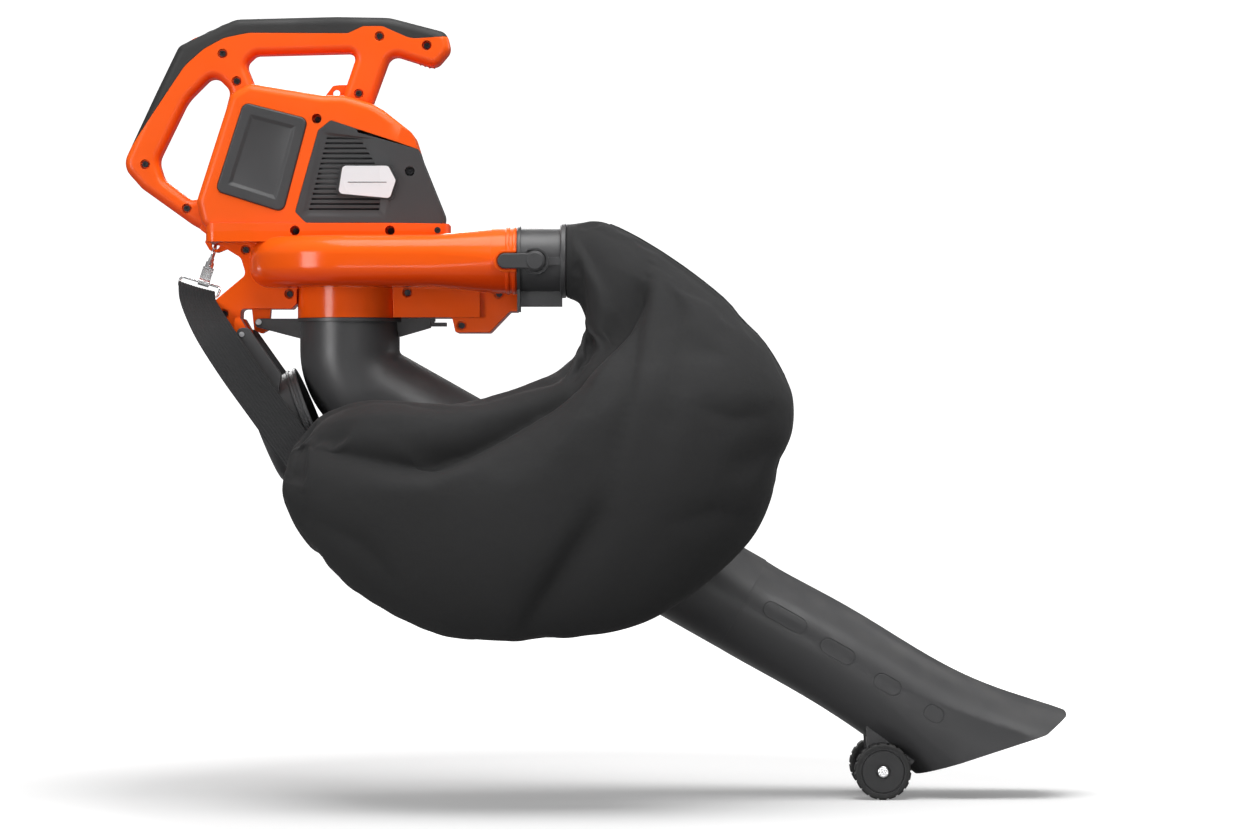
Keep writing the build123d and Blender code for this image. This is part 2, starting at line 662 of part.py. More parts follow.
# ---------------------------------------------------------------- collection bag
# sections along the bag: X, Z of the centre, half height, angle of the height, half depth, y of the centre
BAG_SECTIONS = [
    (279.0, -204.0, 43.0, 90.0, 43.0, -80.0),
    (327.5, -223.7, 56.0, 58.0, 54.0, -98.0),
    (374.3, -267.0, 80.4, 20.0, 74.0, -132.0),
    (404.4, -321.9, 117.4, -3.0, 94.0, -164.0),
    (400.9, -371.0, 143.6, -14.0, 102.0, -174.0),
    (369.1, -412.1, 156.9, -23.0, 106.0, -178.0),
    (326.4, -457.7, 169.5, -34.0, 108.0, -180.0),
    (275.4, -490.6, 169.2, -44.0, 108.0, -180.0),
    (201.0, -503.9, 158.9, -57.0, 107.0, -180.0),
    (119.5, -504.5, 145.4, -71.0, 103.0, -179.0),
    (51.3, -491.8, 122.6, -82.0, 92.0, -175.0),
    (-9.3, -475.6, 79.1, -84.0, 66.0, -158.0),
    (-44.0, -463.0, 30.0, -84.0, 28.0, -148.0),
]


def bag_section(section, shrink):
    x, z, half_height, angle, half_depth, y = section
    along = (cos(radians(angle)), 0, sin(radians(angle)))
    face = Ellipse(half_height - shrink, half_depth - shrink)
    return Plane((x, y, z), x_dir=along, z_dir=(along[2], 0, -along[0])) * face


def bag_body(shrink, sections):
    """Three lofts end to end: the neck, the belly and the tail."""
    faces = [bag_section(section, shrink) for section in sections]
    return loft(faces[:6]) + loft(faces[5:9]) + loft(faces[8:])


def collection_bag():
    """Full bag hanging beside the tube, open at the collar."""
    return bag_body(0, BAG_SECTIONS) - bag_body(BAG_WALL, BAG_SECTIONS[:-1])


def bag_collar_ring():
    return barrel(DUCT_Y, DUCT_Z, 277.4, 286, 39.5) - barrel(DUCT_Y, DUCT_Z, 270, 290, 35.5)


# ---------------------------------------------------------------- strap and hook
WEBBING_WIDTH = 45.0
WEBBING_THICK = 2.4
STRAP_STATIONS = [
    (-165.0, -21.5, -243.0), (-155.0, -41.0, -264.0), (-142.0, -56.5, -288.0), (-116.5, -68.0, -322.0),
    (-88.0, -73.0, -360.0), (-57.5, -76.0, -399.0), (-30.0, -82.0, -436.0), (-7.0, -87.5, -467.0),
]
HANG = Vector(-0.271, -0.259, -0.927)      # the hook hangs down, back and out towards the bag
ACROSS = Vector(0, 1, 0).cross(HANG).normalized() * -1
HOOK_RING = 9.0            # radius of the hook's loop
HOOK_WIRE = 1.6
GATE_HINGE = 330.0         # where the gate turns, in degrees around the loop from the hanging direction


def strap_webbing():
    """Shoulder webbing from the rear ring to the back of the bag."""
    sections = []
    for number, station in enumerate(STRAP_STATIONS):
        before = Vector(*STRAP_STATIONS[max(number - 1, 0)])
        after = Vector(*STRAP_STATIONS[min(number + 1, len(STRAP_STATIONS) - 1)])
        along = (after - before).normalized()
        across = along.cross(Vector(0, 1, 0)).normalized()
        plane = Plane(station, x_dir=across, z_dir=along)
        sections.append(plane * Rectangle(WEBBING_WIDTH, WEBBING_THICK))
    return loft(sections)


def hang_point(distance):
    """A point on the hook's centre line below the rear eye."""
    return Vector(REAR_EYE[0], 0, REAR_EYE[1]) + HANG * distance


def hook_plane(distance):
    """Plane across the hanging direction; its x axis runs across the hook."""
    return Plane(hang_point(distance), x_dir=ACROSS, z_dir=HANG)


def hook_arc(start, end):
    """Part of the hook's loop, angles measured from the hanging direction."""
    loop = Plane(hang_point(HOOK_RING), x_dir=HANG, z_dir=ACROSS)
    path = loop * CenterArc((0, 0), HOOK_RING, start, end - start)
    return sweep(Plane(path @ 0, z_dir=path % 0) * Circle(HOOK_WIRE), path=path)


def snap_hook():
    """Open loop, swivel barrel and a tab rolled around the ring's bar."""
    body = hook_arc(0, 254)
    body += hook_plane(17.0) * extrude(Circle(3.4), amount=6)
    body += hook_plane(22.5) * extrude(Circle(5.0), amount=7)
    body += hook_plane(29) * extrude(Rectangle(13, 3.0), amount=19)
    roll = Plane(hang_point(RING_DROP), x_dir=HANG, z_dir=ACROSS)
    body += roll * Cylinder(4.2, 13)
    return body - roll * Cylinder(2.0, 40)


RING_DROP = 48.5
RING_SHIFT = -3.5          # the ring hangs off centre, clear of the housing


def hook_gate():
    return hook_arc(264, GATE_HINGE)


def rectangular_ring():
    """Wire ring between the hook's tab and the webbing."""
    half, drop, wire = 25.0, 12.5, 1.6
    left, right = RING_SHIFT - half, RING_SHIFT + half
    corners = [(right, 0), (right - 1, -drop), (left + 1, -drop), (left, 0)]
    path = FilletPolyline(*corners, radius=4, close=True).wire()
    bar = sweep(Plane(path @ 0, z_dir=path % 0) * Circle(wire), path=path)
    return Plane(hang_point(RING_DROP), x_dir=ACROSS, z_dir=HANG.cross(ACROSS)) * bar


# ---------------------------------------------------------------- suction tube
def slope_point(along, across=0.0):
    """X, Z of a point on the sloped tube axis, moved up across it."""
    a = radians(TUBE_SLOPE)
    x = TUBE_CORNER[0] + along * cos(a) + across * sin(a)
    z = TUBE_CORNER[1] - along * sin(a) + across * cos(a)
    return x, z


def slope_plane(along, across=0.0):
    """Plane across the sloped tube: x runs up across the tube, y along the row's Y."""
    a = radians(TUBE_SLOPE)
    x, z = slope_point(along, across)
    return Plane((x, 0, z), x_dir=(sin(a), 0, cos(a)), z_dir=(cos(a), 0, -sin(a)))


def tube_path():
    """Axis of the upper tube: down out of the intake, round the elbow, along the slope."""
    x, z = slope_point(TUBE_JOINT)
    points = [(FAN_X, 0, INTAKE_BOTTOM - 0.4), (TUBE_CORNER[0], 0, TUBE_CORNER[1]), (x, 0, z)]
    return FilletPolyline(*points, radius=TUBE_BEND)


def swept_tube(radius):
    path = tube_path()
    return sweep(Plane(path @ 0, z_dir=path % 0) * Circle(radius), path=path)


def upper_suction_tube():
    """Elbow with its hinge lug, latch tab and the spigot for the lower tube."""
    tube = swept_tube(TUBE_RADIUS)
    top = INTAKE_BOTTOM - 0.4
    tube += post(FAN_X, 0, top - 4, top, 64.5)
    x, z = TUBE_PIN
    lug = outline([(x - 5.5, top + 0.0), (-36, top), (-36, -296), (-52, -292), (x - 3, z - 6)], [5, 1, 1, 2, 4])
    tube += slab(lug, -16, -10) + slab(lug, 10, 16)
    web = outline([(72, top), (113, top - 2), (113, -281), (75, -292)], [1, 2, 2, 1])
    tube += slab(web, -16, -11) + slab(web, 11, 16)
    tube += box((70, 118), (-16, 16), (top - 3, top)) + box((112, 132), (-12, 12), (-279.5, -275))
    tube += box((112, 117), (-12, 12), (-279.5, top - 1))
    tube -= swept_tube(TUBE_RADIUS - TUBE_WALL)
    tube += slope_plane(TUBE_JOINT - 10) * extrude(Circle(TUBE_RADIUS - 1), amount=10)
    tube += slope_plane(TUBE_JOINT) * extrude(Circle(57.0), amount=SPIGOT_END - TUBE_JOINT)
    tube -= slope_plane(TUBE_JOINT - 11) * extrude(Circle(54.5), amount=90)
    tube -= rod(x, z, -30, 30, 3.5)
    for side in (-1, 1):
        x, z = slope_point(SNAP_ALONG)
        tube -= rod(x, z, 0, side * 80, 5.2) if side > 0 else rod(x, z, -80, 0, 5.2)
    return tube


SNAP_ALONG = 482.0


def tube_hinge_pin():
    return rod(*TUBE_PIN, -18, 18, 3.5 - 0.02)


def nozzle_loft(shrink):
    """The lower tube past its round part: it deepens and flattens towards the mouth."""
    sections = [(NOZZLE_START - 5, 0.0, 59.7, 59.7), (620, 0.0, 59.7, 59.7), (680, -0.5, 60.0, 59.9),
                (745, -4.0, 61.0, 60.5), (840, -8.0, 69.0, 61.5), (960, -4.0, 86.0, 62.0)]
    faces = []
    for along, across, half_height, half_width in sections:
        faces.append(slope_plane(along, across) * Ellipse(half_height - shrink, half_width - shrink))
    return loft(faces)


def side_flats(inward=0.0):
    """What is cut from the nozzle's sides: two flats that grow towards the mouth."""
    a = radians(TUBE_SLOPE)
    x, z = slope_point(FLATS_START)
    frame = Plane((x, 0, z), x_dir=(cos(a), 0, -sin(a)), z_dir=(sin(a), 0, cos(a)))
    near, far = 60.6 - inward, 53.0 - inward
    wedge = make_face(Polyline((0, near), (FLATS_LENGTH, far), (FLATS_LENGTH, 120), (0, 120), close=True))
    flat = frame * extrude(wedge, amount=130, both=True)
    return flat + mirror(flat, Plane.XZ)


FLATS_START = 725.0
FLATS_LENGTH = 250.0


def nozzle_keep():
    """Side outline of everything left of the mouth."""
    points = [(300, -300), (660, -560), (862, -733), (878, -742), (847, -766), (694, -815.5), (600, -900), (300, -900)]
    return slab(outline(points, [1, 1, 4, 5, 12, 2, 1, 1]), -100, 100)


def lower_suction_tube():
    """Straight tube that widens into the pick-up nozzle, with the wheel bracket below."""
    start = TUBE_JOINT + 0.5
    outside = slope_plane(start) * extrude(Circle(60.0), amount=NOZZLE_START - start) + nozzle_loft(0)
    outside = (outside & nozzle_keep()) - side_flats()
    bracket = outline([(632, -742), (700, -770), (690, -800), (662, -820), (645, -820), (636, -795)],
                      [1, 1, 8, 9, 9, 12])
    outside += slab(bracket, -36, -30) + slab(bracket, 30, 36) + slab(inset(bracket, 2), -31, 31)
    inside = slope_plane(start - 5) * extrude(Circle(57.3), amount=NOZZLE_START - start + 5)
    inside = inside + nozzle_loft(2.6) - side_flats(2.6)
    tube = outside - inside
    tube -= rod(WHEEL_X, WHEEL_Z, -70, 70, AXLE_RADIUS + RUNNING)
    x, z = slope_point(SNAP_ALONG)
    tube -= rod(x, z, -80, 80, 5.2)
    return tube - tube_marks()


MARK_DEPTH = 0.7
MARK_CENTRES = [(590.0, 12.0, 58.0), (664.0, 8.0, 46.0), (735.0, 3.0, 36.0), (800.0, 0.0, 26.0)]


def tube_marks():
    """Shallow oval grooves along both sides of the lower tube."""
    grooves = None
    for along, across, length in MARK_CENTRES:
        x, z = slope_point(along, across)
        oval = SlotOverall(length, 20) - SlotOverall(length - 3, 17)
        for low, high in ((-70, -40), (40, 70)):
            groove = slab(Pos(x, z) * Rot(0, 0, -TUBE_SLOPE) * oval, low, high)
            grooves = groove if grooves is None else grooves + groove
    skin = slope_plane(NOZZLE_START + 1) * extrude(Circle(70), amount=400)
    return grooves & (skin - (nozzle_loft(MARK_DEPTH) - side_flats(MARK_DEPTH)))


def tube_snap_button(side):
    """Spring button that locks the lower tube on the spigot."""
    x, z = slope_point(SNAP_ALONG)
    pin = rod(x, z, 52, 61.5, 5.0) + rod(x, z, 50, 53.6, 8)
    pin = fillet(pin.edges().filter_by(GeomType.CIRCLE).sort_by(Axis.Y)[-1], 1.2)
    pin = pin & slope_plane(400) * extrude(Circle(100), amount=200)
    return pin if side > 0 else mirror(pin, Plane.XZ)


# ---------------------------------------------------------------- intake cover
COVER_TILT = 21.8          # degrees its rim leans from vertical while it hangs open
COVER_TOP = (-50.0, -329.0)
COVER_RADIUS = 63.0
COVER_DEPTH = 64.0


def intake_cover():
    """Drum-shaped cover that closes the intake when the tube is off; it hangs open beside the elbow."""
    t = radians(COVER_TILT)
    down = (sin(t), -cos(t))
    back = (-cos(t), -sin(t))
    centre = (COVER_TOP[0] + down[0] * COVER_RADIUS, COVER_TOP[1] + down[1] * COVER_RADIUS)
    rim_plane = Plane((centre[0], 0, centre[1]), x_dir=(0, 1, 0), z_dir=(back[0], 0, back[1]))
    drum = extrude(Circle(COVER_RADIUS - 2), amount=COVER_DEPTH)
    drum = fillet(drum.edges().filter_by(GeomType.CIRCLE).sort_by(Axis.Z)[-1], 8)
    for start in (0.0, 8.0):
        flange = Pos(0, 0, start) * extrude(Circle(COVER_RADIUS), amount=4)
        drum += fillet(flange.edges().filter_by(GeomType.CIRCLE), 1.2)
    hollow = Pos(0, 0, -1) * extrude(Circle(COVER_RADIUS - 5), amount=COVER_DEPTH - 2)
    hx, hz = HINGE
    middle = (COVER_TOP[0] + back[0] * 34, COVER_TOP[1] + back[1] * 34)
    points = [(hx - 8, hz + 8), (hx + 8, hz + 8), (middle[0] + 20, middle[1] + 4), (middle[0] + 16, middle[1] - 22),
              (middle[0] - 16, middle[1] - 30), (middle[0] - 22, middle[1] - 10)]
    arm = outline(points, [7.5, 7.5, 6, 4, 4, 6])
    cover = rim_plane * drum
    for low, high in ((-50, -43), (43, 50)):
        cover += soft_slab(arm, low, high, 1.5)
    cover -= rim_plane * hollow
    return cover - rod(hx, hz, -60, 60, 3.0 + RUNNING)


def intake_cover_pin():
    return rod(*HINGE, -52, 52, 3.0)


# ---------------------------------------------------------------- wheels
def wheel_axle():
    return rod(WHEEL_X, WHEEL_Z, -WHEEL_OUTER + 1, WHEEL_OUTER - 1, AXLE_RADIUS)


def wheel_hub(side):
    """Dished disc with a groove near its rim."""
    hub = rod(0, 0, WHEEL_INNER + 2, WHEEL_OUTER - 2, 28.5)
    hub -= rod(0, 0, WHEEL_OUTER - 4, WHEEL_OUTER, 26) - rod(0, 0, WHEEL_OUTER - 4, WHEEL_OUTER, 24.5)
    hub -= rod(0, 0, WHEEL_OUTER - 4.5, WHEEL_OUTER, 9)
    hub -= rod(0, 0, 0, 80, AXLE_RADIUS + RUNNING)
    hub = Pos(WHEEL_X, 0, WHEEL_Z) * hub
    return hub if side > 0 else mirror(hub, Plane.XZ)


def wheel_tyre(side):
    """Tyre with cross grooves in its tread."""
    tyre = rod(0, 0, WHEEL_INNER, WHEEL_OUTER - 1, WHEEL_RADIUS)
    tyre = fillet(tyre.edges().filter_by(GeomType.CIRCLE), 3)
    tyre -= rod(0, 0, 30, 70, 28.52)
    for groove in range(18):
        cut = Pos(WHEEL_RADIUS, 51, 0) * Box(3.0, 30, 3.2)
        tyre -= Rot(0, groove * 20, 0) * cut
    tyre = Pos(WHEEL_X, 0, WHEEL_Z) * tyre
    return tyre if side > 0 else mirror(tyre, Plane.XZ)


def hub_cap(side):
    """Push-on cap at the end of the axle."""
    cap = rod(WHEEL_X, WHEEL_Z, WHEEL_OUTER - 4.3, WHEEL_OUTER + 0.5, 6.8)
    cap = fillet(cap.edges().filter_by(GeomType.CIRCLE).sort_by(Axis.Y)[-1], 1.5)
    cap -= rod(WHEEL_X, WHEEL_Z, 0, WHEEL_OUTER - 1, AXLE_RADIUS)
    top = WHEEL_OUTER + 0.5
    cap -= rod(WHEEL_X, WHEEL_Z, top - 0.6, top + 1, 4.6) - rod(WHEEL_X, WHEEL_Z, top - 2, top + 2, 3.2)
    cap -= rod(WHEEL_X, WHEEL_Z, top - 0.9, top + 1, 1.3)
    return cap if side > 0 else mirror(cap, Plane.XZ)


# ---------------------------------------------------------------- build
def build():
    clamshell = housing()
    right = near_half(clamshell) + latch_pocket()
    save(right, "right_housing_shell")
    save(far_half(clamshell), "left_housing_shell")
    save(soft_grip() - panel_room(), "handle_grip")
    save(control_panel(), "control_panel")
    for name in BUTTONS:
        save(button(name), name)
    save(grille_cover(-1), "right_motor_grille")
    save(grille_cover(1), "left_motor_grille")
    save(badge_plate(), "badge_plate")
    save(battery_bay_cover(), "battery_bay_cover")
    save(battery_pack(), "battery_pack")
    save(battery_release_button(), "battery_release_button")
    save(battery_terminal_block(), "battery_terminal_block")
    save(motor_mount_plate(), "motor_mount_plate")
    save(bearing(MOTOR_BASE - 2.1), "lower_bearing")
    save(bearing(-108), "upper_bearing")
    save(motor_stator(), "motor_stator")
    save(motor_rotor(), "motor_rotor")
    save(fan_impeller(), "fan_impeller")
    save(mulching_blade(), "mulching_blade")
    save(fan_nut(), "fan_nut")
    save(controller_board(), "controller_board")
    save(wiring_loom(), "wiring_loom")
    save(interlock_switch(), "interlock_switch")
    save(housing_screws(), "housing_screws")
    save(bag_adapter(), "bag_adapter")
    save(adapter_latch(), "adapter_latch")
    save(latch_pin(), "latch_pin")
    save(collection_bag(), "collection_bag")
    save(bag_collar_ring(), "bag_collar_ring")
    save(strap_webbing(), "strap_webbing")
    save(snap_hook(), "snap_hook")
    save(hook_gate(), "hook_gate")
    save(rectangular_ring(), "rectangular_ring")
    save(upper_suction_tube(), "upper_suction_tube")
    save(tube_hinge_pin(), "tube_hinge_pin")
    save(lower_suction_tube(), "lower_suction_tube")
    save(tube_snap_button(-1), "right_snap_button")
    save(tube_snap_button(1), "left_snap_button")
    save(intake_cover(), "intake_cover")
    save(intake_cover_pin(), "intake_cover_pin")
    save(wheel_axle(), "wheel_axle")
    for side, name in ((-1, "right"), (1, "left")):
        save(wheel_hub(side), f"{name}_wheel_hub")
        save(wheel_tyre(side), f"{name}_wheel_tyre")
        save(hub_cap(side), f"{name}_hub_cap")


build()
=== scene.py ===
"""Looks of the leaf vacuum mulcher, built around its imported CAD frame. Lengths are in metres.

Order of the script: frame, node helpers, materials, carried-over CAD nodes, collection bag,
shoulder strap, moulded and sewn details, studio, camera.
"""

import json
import math

import bmesh
import bpy
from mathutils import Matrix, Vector, noise


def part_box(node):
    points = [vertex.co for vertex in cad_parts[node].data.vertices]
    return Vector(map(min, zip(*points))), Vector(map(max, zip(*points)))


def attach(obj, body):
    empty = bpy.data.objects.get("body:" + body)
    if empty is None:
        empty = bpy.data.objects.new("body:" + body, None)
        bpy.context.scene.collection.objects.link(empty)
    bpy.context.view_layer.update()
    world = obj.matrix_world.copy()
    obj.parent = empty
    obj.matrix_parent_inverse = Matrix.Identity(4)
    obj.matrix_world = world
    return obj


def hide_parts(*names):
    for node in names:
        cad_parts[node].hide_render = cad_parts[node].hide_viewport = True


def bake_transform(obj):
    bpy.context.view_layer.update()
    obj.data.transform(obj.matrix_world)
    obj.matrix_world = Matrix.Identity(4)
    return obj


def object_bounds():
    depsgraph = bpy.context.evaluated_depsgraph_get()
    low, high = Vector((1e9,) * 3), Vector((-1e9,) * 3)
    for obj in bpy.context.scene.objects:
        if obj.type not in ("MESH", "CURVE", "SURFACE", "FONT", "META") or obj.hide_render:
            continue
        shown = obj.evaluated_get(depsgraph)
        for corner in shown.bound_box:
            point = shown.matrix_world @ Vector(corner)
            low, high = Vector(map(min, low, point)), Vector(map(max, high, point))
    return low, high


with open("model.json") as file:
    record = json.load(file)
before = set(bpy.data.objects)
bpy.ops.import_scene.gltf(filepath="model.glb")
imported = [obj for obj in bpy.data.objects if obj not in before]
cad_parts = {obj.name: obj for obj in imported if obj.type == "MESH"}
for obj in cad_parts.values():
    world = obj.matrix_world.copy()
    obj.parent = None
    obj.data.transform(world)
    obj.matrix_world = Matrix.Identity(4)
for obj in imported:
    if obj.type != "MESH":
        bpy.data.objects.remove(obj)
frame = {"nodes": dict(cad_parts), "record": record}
cad_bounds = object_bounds()
NODES = frame["nodes"]
MM = 0.001
BEVEL_SAMPLES = 4
SMOOTH_BELOW = math.radians(32)
HOUSING_SPLIT = -0.168       # the glossy fan casing lies below this height, the satin body above it
DUST_COLOUR = (0.45, 0.42, 0.37, 1.0)


# ---------------------------------------------------------------- node helpers

def add_node(tree, kind, inputs=None, **settings):
    """New node with its settings, and with each named input either linked or set."""
    node = tree.nodes.new(kind)
    for name, value in settings.items():
        setattr(node, name, value)
    for name, value in (inputs or {}).items():
        if isinstance(value, bpy.types.NodeSocket):
            tree.links.new(value, node.inputs[name])
        else:
            node.inputs[name].default_value = value
    return node


def maths(tree, operation, first, second=0.0):
    return add_node(tree, "ShaderNodeMath", {0: first, 1: second}, operation=operation).outputs[0]


def mix_colour(tree, amount, first, second):
    inputs = {"Fac": amount, "Color1": first, "Color2": second}
    return add_node(tree, "ShaderNodeMixRGB", inputs).outputs[0]


def noise_value(tree, position, scale, detail=2.0, roughness=0.5):
    inputs = {"Vector": position, "Scale": scale, "Detail": detail, "Roughness": roughness}
    return add_node(tree, "ShaderNodeTexNoise", inputs).outputs["Fac"]


def spread(tree, value, low, high, new_low, new_high):
    """Value between low and high, spread over a new range and held inside it."""
    inputs = {"Value": value, "From Min": low, "From Max": high, "To Min": new_low, "To Max": new_high}
    return add_node(tree, "ShaderNodeMapRange", inputs).outputs["Result"]


def shade(colour, factor):
    """The colour made lighter or darker, with full opacity."""
    return tuple(min(1.0, c * factor) for c in colour[:3]) + (1.0,)


def bump(tree, height, distance, below=None):
    inputs = {"Height": height, "Distance": distance, "Strength": 1.0}
    if below is not None:
        inputs["Normal"] = below
    return add_node(tree, "ShaderNodeBump", inputs).outputs["Normal"]


class Surface:
    """A material being built: its node tree, the frame position, and a rounded-edge normal."""

    def __init__(self, name, edge_radius):
        self.material = bpy.data.materials.new(name)
        self.material.use_nodes = True
        self.tree = self.material.node_tree
        self.tree.nodes.clear()
        self.position = add_node(self.tree, "ShaderNodeTexCoord").outputs["Object"]
        self.geometry = add_node(self.tree, "ShaderNodeNewGeometry")
        self.edge_normal = add_node(self.tree, "ShaderNodeBevel", {"Radius": edge_radius},
                                    samples=BEVEL_SAMPLES).outputs["Normal"]

    def edge_mask(self):
        """One on worn edges, zero on flat faces."""
        tree = self.tree
        inputs = {0: self.edge_normal, 1: self.geometry.outputs["Normal"]}
        facing = add_node(tree, "ShaderNodeVectorMath", inputs, operation="DOT_PRODUCT").outputs["Value"]
        turned = spread(tree, facing, 0.995, 0.8, 0.0, 1.0)
        patches = spread(tree, noise_value(tree, self.position, 55, 3), 0.4, 0.65, 0.25, 1.0)
        return maths(tree, "MULTIPLY", turned, patches)

    def height_above(self, level, blur):
        """Zero below the level, one above it."""
        split = add_node(self.tree, "ShaderNodeSeparateXYZ", {"Vector": self.position})
        return spread(self.tree, split.outputs["Z"], level - blur, level + blur, 0.0, 1.0)

    def output(self, **inputs):
        shader = add_node(self.tree, "ShaderNodeBsdfPrincipled", inputs)
        add_node(self.tree, "ShaderNodeOutputMaterial", {"Surface": shader.outputs["BSDF"]})
        return self.material


# ------------------------------------------------------------------- materials

def moulded(name, colour, roughness, grain_scale, grain_height, wear=0.25, coat=0.0, edge=0.7,
            mottle=0.08):
    """Injection-moulded plastic: spark-eroded grain, slight flow mottling, rubbed edges, light dust."""
    surface = Surface(name, edge * MM)
    tree = surface.tree
    place = surface.position
    flow = noise_value(tree, place, 9, 3)
    colour_now = mix_colour(tree, flow, shade(colour, 1 - mottle), shade(colour, 1 + mottle))
    worn = maths(tree, "MULTIPLY", surface.edge_mask(), wear)
    colour_now = mix_colour(tree, worn, colour_now, shade([c + 0.10 for c in colour], 1.25))
    up = add_node(tree, "ShaderNodeSeparateXYZ", {"Vector": surface.geometry.outputs["Normal"]})
    dust = spread(tree, up.outputs["Z"], 0.3, 1.0, 0.0, 0.05)
    dust = maths(tree, "MULTIPLY", dust, spread(tree, noise_value(tree, place, 38, 4), 0.4, 0.7, 0, 1))
    colour_now = mix_colour(tree, dust, colour_now, DUST_COLOUR)
    rubbed = noise_value(tree, place, 24, 4)
    rough = spread(tree, rubbed, 0.3, 0.7, roughness - 0.05, roughness + 0.07)
    rough = maths(tree, "ADD", rough, maths(tree, "MULTIPLY", dust, 2.0))
    grain = noise_value(tree, place, grain_scale, 2, 0.6)
    normal = bump(tree, grain, grain_height * MM, surface.edge_normal)
    inputs = {"Base Color": colour_now, "Roughness": rough, "Normal": normal, "Coat Weight": coat,
              "Coat Roughness": 0.12, "IOR": 1.48}
    return surface.output(**inputs)


def orange_shell(name, colour):
    """Orange housing plastic: satin above, glossier on the fan casing, a painted red shade facing down."""
    surface = Surface(name, 0.9 * MM)
    tree = surface.tree
    place = surface.position
    flow = noise_value(tree, place, 7, 3)
    colour_now = mix_colour(tree, flow, shade(colour, 0.93), shade(colour, 1.05))
    worn = maths(tree, "MULTIPLY", surface.edge_mask(), 0.22)
    colour_now = mix_colour(tree, worn, colour_now, (1.0, 0.36, 0.12, 1.0))
    facing = add_node(tree, "ShaderNodeSeparateXYZ", {"Vector": surface.geometry.outputs["Normal"]})
    # Painted shade: faces turned downward are mixed towards a deep red, standing in for the shade under
    # the housing.
    under = spread(tree, facing.outputs["Z"], -0.7, 0.2, 0.8, 0.0)
    colour_now = mix_colour(tree, under, colour_now, (0.72, 0.035, 0.002, 1.0))
    specks = spread(tree, noise_value(tree, place, 160, 5, 0.7), 0.66, 0.76, 0.0, 0.25)
    colour_now = mix_colour(tree, specks, colour_now, shade(colour, 0.55))
    satin = surface.height_above(HOUSING_SPLIT, 2 * MM)
    rubbed = noise_value(tree, place, 22, 4)
    glossy = spread(tree, rubbed, 0.3, 0.7, 0.14, 0.22)
    matte = spread(tree, rubbed, 0.3, 0.7, 0.30, 0.40)
    rough = add_node(tree, "ShaderNodeMix", {0: satin, 2: glossy, 3: matte}).outputs[0]
    grain = noise_value(tree, place, 1500, 2, 0.6)
    height = maths(tree, "MULTIPLY", grain, spread(tree, satin, 0, 1, 0.25, 1.0))
    normal = bump(tree, height, 0.05 * MM, surface.edge_normal)
    inputs = {"Base Color": colour_now, "Roughness": rough, "Normal": normal, "Coat Weight": 0.02,
              "Coat Roughness": 0.12, "IOR": 1.35}
    return surface.output(**inputs)


def soft_rubber(name, colour):
    """Over-moulded grip: matt elastomer with a fine pebble texture, shinier where hands rub it."""
    surface = Surface(name, 1.0 * MM)
    tree = surface.tree
    place = surface.position
    pebbles = add_node(tree, "ShaderNodeTexVoronoi", {"Vector": place, "Scale": 650.0},
                       feature="SMOOTH_F1").outputs["Distance"]
    handling = spread(tree, noise_value(tree, place, 14, 3), 0.35, 0.65, 0.0, 1.0)
    colour_now = mix_colour(tree, handling, shade(colour, 0.85), shade(colour, 1.15))
    worn = maths(tree, "MULTIPLY", surface.edge_mask(), 0.2)
    colour_now = mix_colour(tree, worn, colour_now, (0.11, 0.11, 0.11, 1.0))
    rough = spread(tree, handling, 0, 1, 0.66, 0.52)
    normal = bump(tree, pebbles, 0.12 * MM, surface.edge_normal)
    return surface.output(**{"Base Color": colour_now, "Roughness": rough, "Normal": normal,
                             "Specular IOR Level": 0.4})


def metal(name, colour, roughness, scratches=0.3, bands=0.0):
    """Bare metal with fine scratches; bands adds turning or brushing marks."""
    surface = Surface(name, 0.35 * MM)
    tree = surface.tree
    place = surface.position
    stretched = add_node(tree, "ShaderNodeMapping", {"Vector": place, "Scale": (60, 60, 2600)}).outputs[0]
    brushed = noise_value(tree, stretched, 1.0, 2)
    stain = noise_value(tree, place, 90, 4)
    colour_now = mix_colour(tree, stain, shade(colour, 0.86), shade(colour, 1.06))
    rough = spread(tree, stain, 0.3, 0.7, roughness - 0.04, roughness + 0.1)
    rough = maths(tree, "ADD", rough, maths(tree, "MULTIPLY", brushed, scratches * 0.2))
    normal = bump(tree, brushed, (0.01 + bands) * MM, surface.edge_normal)
    return surface.output(**{"Base Color": colour_now, "Roughness": rough, "Metallic": 1.0,
                             "Normal": normal})


def woven_height(tree, across, along, pitch):
    """Plain weave: two crossing sets of threads, each passing over and under the other."""
    turn = 2 * math.pi / pitch
    warp = maths(tree, "SINE", maths(tree, "MULTIPLY", across, turn))
    weft = maths(tree, "SINE", maths(tree, "MULTIPLY", along, turn))
    crossing = maths(tree, "MULTIPLY", warp, weft)
    return maths(tree, "ADD", maths(tree, "MULTIPLY", crossing, 0.5), 0.5)


